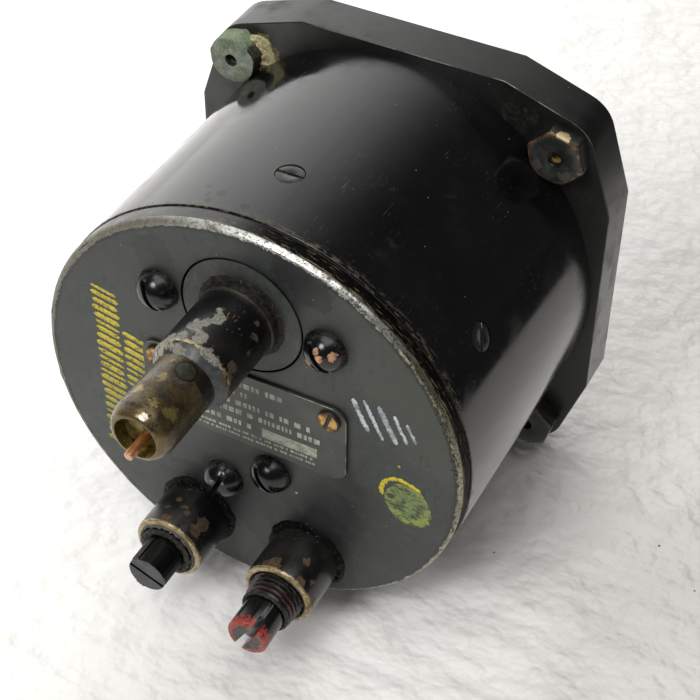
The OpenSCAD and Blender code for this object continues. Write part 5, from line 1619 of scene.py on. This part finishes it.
class GAUGE_OT_dial(bpy.types.Operator):
    """Builds the dial with its scales, numbers and screws"""
    bl_idname = "gauge.dial"
    bl_label = "Dial"

    # Pivot, first and last angle, inner and outer radius, marks, marks to a number, numbers and
    # their radius
    SCALES = [(PIVOTS[0], 150, 30, 21.0, 23.6, 21, 4, ("0", "20", "40", "60", "80", "100"), 18.2),
              (PIVOTS[1], 240, 144, 15.0, 16.7, 21, 5, ("0", "50", "100", "150", "200"), 12.2),
              (PIVOTS[2], 300, 396, 15.0, 16.7, 26, 5, ("0", "5", "10", "15", "20", "25"), 12.2)]

    def execute(self, context):
        dial = context.scene.gauge_dial
        repaint(self.ground(dial), "dial_plate")
        paint = plain("luminous_paint", dial.paint, tone(190, 182, 140), 0.6, 0.0, 1.5, 0.01)
        marks = []
        for pivot, first, last, inner, outer, count, every, *_ in self.SCALES:
            majors = (count - 1) // every + 1
            marks.append(self.scale(paint, pivot, first, last, (inner + outer) / 2 + 0.4, count,
                                    (outer - inner) - 0.8, dial.minor_width / MM))
            marks.append(self.scale(paint, pivot, first, last, (inner + outer) / 2, majors,
                                    outer - inner, dial.major_width / MM))
            marks.append(self.arc(pivot, first, last, outer))
        piece("dial_scales", joined(*marks), paint, "root", "dial_black")
        numbers = []
        for i, (pivot, first, last, *_, labels, radius) in enumerate(self.SCALES):
            height = dial.upper_numeral if i == 0 else dial.lower_numeral
            for k, label in enumerate(labels):
                angle = first + (last - first) * k / (len(labels) - 1)
                at = Vector((pivot[0], 0, pivot[1])) + flat_way(angle) * radius
                numbers.append(self.number(label, at, height))
        piece("dial_numbers", joined(*numbers), paint, "root", "dial_black", sharp=60)
        pan = screw([(0, 0.8), (1.2, 0.78), (1.6, 0.6), (1.7, 0.35), (1.7, 0)], 0.78, 4.2, 0.42,
                    0.35, 0.8, 0.5)
        screws = plain("dial_screw_black", tone(30, 30, 30), tone(44, 43, 42), 0.35, 0.5, 1.0)
        fasteners("dial_pan_screws", pan, [(x, DIAL_FACE, z, -OUT, flat_way(a))
                                           for x, z, a in DIAL_SCREWS], screws, "root",
                  "dial_black", "dial_screws")
        return {"FINISHED"}

    def ground(self, dial):
        f = Finish("dial_matt")
        fine = f.noise(0.8, 2.0, 0.6)
        wide = f.noise(12, 4.0)
        base = f.layers(dial.ground, (wide.step(0.4, 0.7) * 0.5, tone(30, 30, 29)),
                        (f.specks(2.2, 0.1, 0.05) * 0.5, tone(110, 108, 100)))
        return f.surface(base, 0.62 + (fine - 0.5) * 0.2, 0.0, fine, 0.0015)

    def scale(self, paint, pivot, first, last, radius, count, long, wide):
        """A row of marks round a pivot: a tree puts a bar at each step of the sweep."""
        tree = Shapes("Scale marks", Count=("Int", 21), Radius=("Float", 0.02),
                      First=("Float", 0.0), Sweep=("Float", 1.0), Mark_length=("Float", 0.002),
                      Mark_width=("Float", 0.0003))
        line = tree.node("GeometryNodeMeshLine", None, {"Count": tree.given("Count")})
        index = tree.node("GeometryNodeInputIndex")
        angle = tree.given("First") + tree.given("Sweep") * index / (tree.given("Count") - 1)
        reach = tree.given("Radius")
        spot = tree.node("ShaderNodeCombineXYZ", None, {
            0: angle.math("COSINE", angle) * reach, 2: angle.math("SINE", angle) * reach})
        ring = tree.node("GeometryNodeSetPosition", None, {"Geometry": line, "Position": spot})
        bar = tree.node("GeometryNodeMeshCube", None, {"Size": tree.node(
            "ShaderNodeCombineXYZ", None, {0: tree.given("Mark length"), 1: 0.00005,
                                           2: tree.given("Mark width")})})
        facing = tree.node("ShaderNodeCombineXYZ", None, {1: angle * -1})
        laid = tree.node("GeometryNodeInstanceOnPoints", None,
                         {"Points": ring, "Instance": bar, "Rotation": facing})
        tree.end(laid, paint)
        grown = tree.grow(bare("scale"), Count=count, Radius=radius * MM, First=math.radians(first),
                          Sweep=math.radians(last - first), Mark_length=long * MM,
                          Mark_width=wide * MM)
        return moved(grown, Matrix.Translation(Vector((pivot[0], DIAL_FACE, pivot[1])) * MM))

    def arc(self, pivot, first, last, radius):
        mesh = bmesh.new()
        points = arc_points(pivot, radius, first, last)
        stroke(mesh, points, 0.3, random.Random(1), 0.0, DIAL_FACE - 0.025, 0.015, 1.0)
        bmesh.ops.recalc_face_normals(mesh, faces=mesh.faces)
        return mesh

    def number(self, label, at, height):
        """A plain number lying on the dial, to be read from the front."""
        text = bpy.data.curves.new("number", "FONT")
        text.body, text.size = label, height * 1.36
        text.align_x, text.align_y, text.extrude = "CENTER", "CENTER", 0.02 * MM
        text.offset = height * 0.012
        holder = bpy.data.objects.new("number", text)
        bpy.context.scene.collection.objects.link(holder)
        mesh = as_bmesh(holder)
        bpy.data.objects.remove(holder)
        upright = Matrix.Rotation(math.radians(90), 4, "X")
        return moved(mesh, Matrix.Translation(Vector((at.x, DIAL_FACE, at.z)) * MM) @ upright)


class GAUGE_OT_pointers(bpy.types.Operator):
    """Builds the three pointers"""
    bl_idname = "gauge.pointers"
    bl_label = "Pointers"

    def execute(self, context):
        dial = context.scene.gauge_dial
        finish = self.finish(dial)
        for side in ("upper", "left", "right"):
            piece(f"{side}_pointer_blade", rounded(welded(f"{side}_pointer"), 0.07 * MM, 2), finish,
                  f"{side}_pointer_body", "pointer_paint", f"{side}_pointer")
        return {"FINISHED"}

    def finish(self, dial):
        """Pale blades with black hubs and tails."""
        f = Finish("pointer_paint")
        fine = f.noise(0.6, 4.0, 0.65)
        black = None
        for (x, z), rest in zip(PIVOTS, POINTER_REST):
            way = flat_way(rest)
            hub = f.near((x, 6.6, z), 3.1)
            tail = f.near((x - way.x * 4.4, 6.6, z - way.z * 4.4), 3.0)
            black = hub.either(tail) if black is None else black.either(hub).either(tail)
        base = f.layers(dial.paint, (fine.step(0.45, 0.7), tone(188, 180, 140)),
                        (black, f.blend(fine, tone(16, 16, 16), tone(30, 30, 30))))
        return f.surface(base, 0.55 - black * 0.2, 0.0, fine, 0.01)


class GAUGE_OT_movement(bpy.types.Operator):
    """Finishes the movement, the pressure elements and the clamps inside the case"""
    bl_idname = "gauge.movement"
    bl_label = "Movement"

    def execute(self, context):
        fit = context.scene.gauge_fittings
        sides = ("upper", "left", "right")
        brass = plain("movement_brass", fit.brass, tone(170, 134, 74), 0.32, 0.95, 4.0, 0.004,
                      (1, 1, 0.15))
        repaint(brass, "front_movement_plate", "rear_movement_plate", "movement_pillars",
                "frame_posts", "dial_posts", *(f"{s}_sector" for s in sides),
                *(f"{s}_socket" for s in sides), *(f"{s}_tip_block" for s in sides))
        steel = plain("movement_steel", tone(160, 161, 163), tone(126, 127, 130), 0.28, 0.95, 2.0,
                      0.003)
        repaint(steel, "frame_screws", *(f"{s}_sector_arbor" for s in sides),
                *(f"{s}_pinion_arbor" for s in sides), *(f"{s}_link" for s in sides))
        repaint(plain("spring_blue", tone(58, 72, 108), tone(40, 50, 84), 0.25, 0.95, 1.0, 0.002),
                *(f"{s}_hairspring" for s in sides))
        repaint(plain("tube_bronze", tone(178, 136, 84), tone(142, 100, 58), 0.34, 0.95, 5.0,
                      0.006),
                *(f"{s}_bourdon_tube" for s in sides))
        repaint(plain("clamp_steel", tone(118, 118, 116), tone(90, 90, 88), 0.42, 0.9, 3.0, 0.006),
                "upper_clamp_bar", "lower_clamp_plate")
        return {"FINISHED"}


class GAUGE_PT_panel(bpy.types.Panel):
    """Lists the steps that build the gauge"""
    bl_idname = "GAUGE_PT_panel"
    bl_label = "Triple Engine Gauge"
    bl_space_type = "VIEW_3D"
    bl_region_type = "UI"
    bl_category = "Gauge"

    def draw(self, context):
        for step in STEPS:
            self.layout.operator(step.bl_idname)
        for group in ("gauge_case", "gauge_fittings", "gauge_marks", "gauge_dial", "gauge_stage"):
            box_ = self.layout.box()
            settings = getattr(context.scene, group)
            for name in settings.__annotations__:
                box_.prop(settings, name)


STEPS = (GAUGE_OT_stage, GAUGE_OT_case, GAUGE_OT_mounting_nuts, GAUGE_OT_rear_cover,
         GAUGE_OT_screws, GAUGE_OT_data_plate, GAUGE_OT_paint_marks, GAUGE_OT_upper_fitting,
         GAUGE_OT_pressure_ports, GAUGE_OT_port_plugs, GAUGE_OT_dial, GAUGE_OT_pointers,
         GAUGE_OT_movement)
SETTINGS = {"gauge_case": GaugeCaseSettings, "gauge_fittings": GaugeFittingSettings,
            "gauge_marks": GaugeMarkSettings, "gauge_dial": GaugeDialSettings,
            "gauge_stage": GaugeStageSettings}


def register():
    for made in (*SETTINGS.values(), *STEPS, GAUGE_PT_panel):
        bpy.utils.register_class(made)
    for name, kind in SETTINGS.items():
        setattr(bpy.types.Scene, name, PointerProperty(type=kind))


def unregister():
    for name in SETTINGS:
        delattr(bpy.types.Scene, name)
    for made in reversed((*SETTINGS.values(), *STEPS, GAUGE_PT_panel)):
        bpy.utils.unregister_class(made)


def main():
    register()
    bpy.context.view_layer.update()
    for step in STEPS:
        area, name = step.bl_idname.split(".")
        getattr(getattr(bpy.ops, area), name)()


if __name__ == "__main__":
    main()
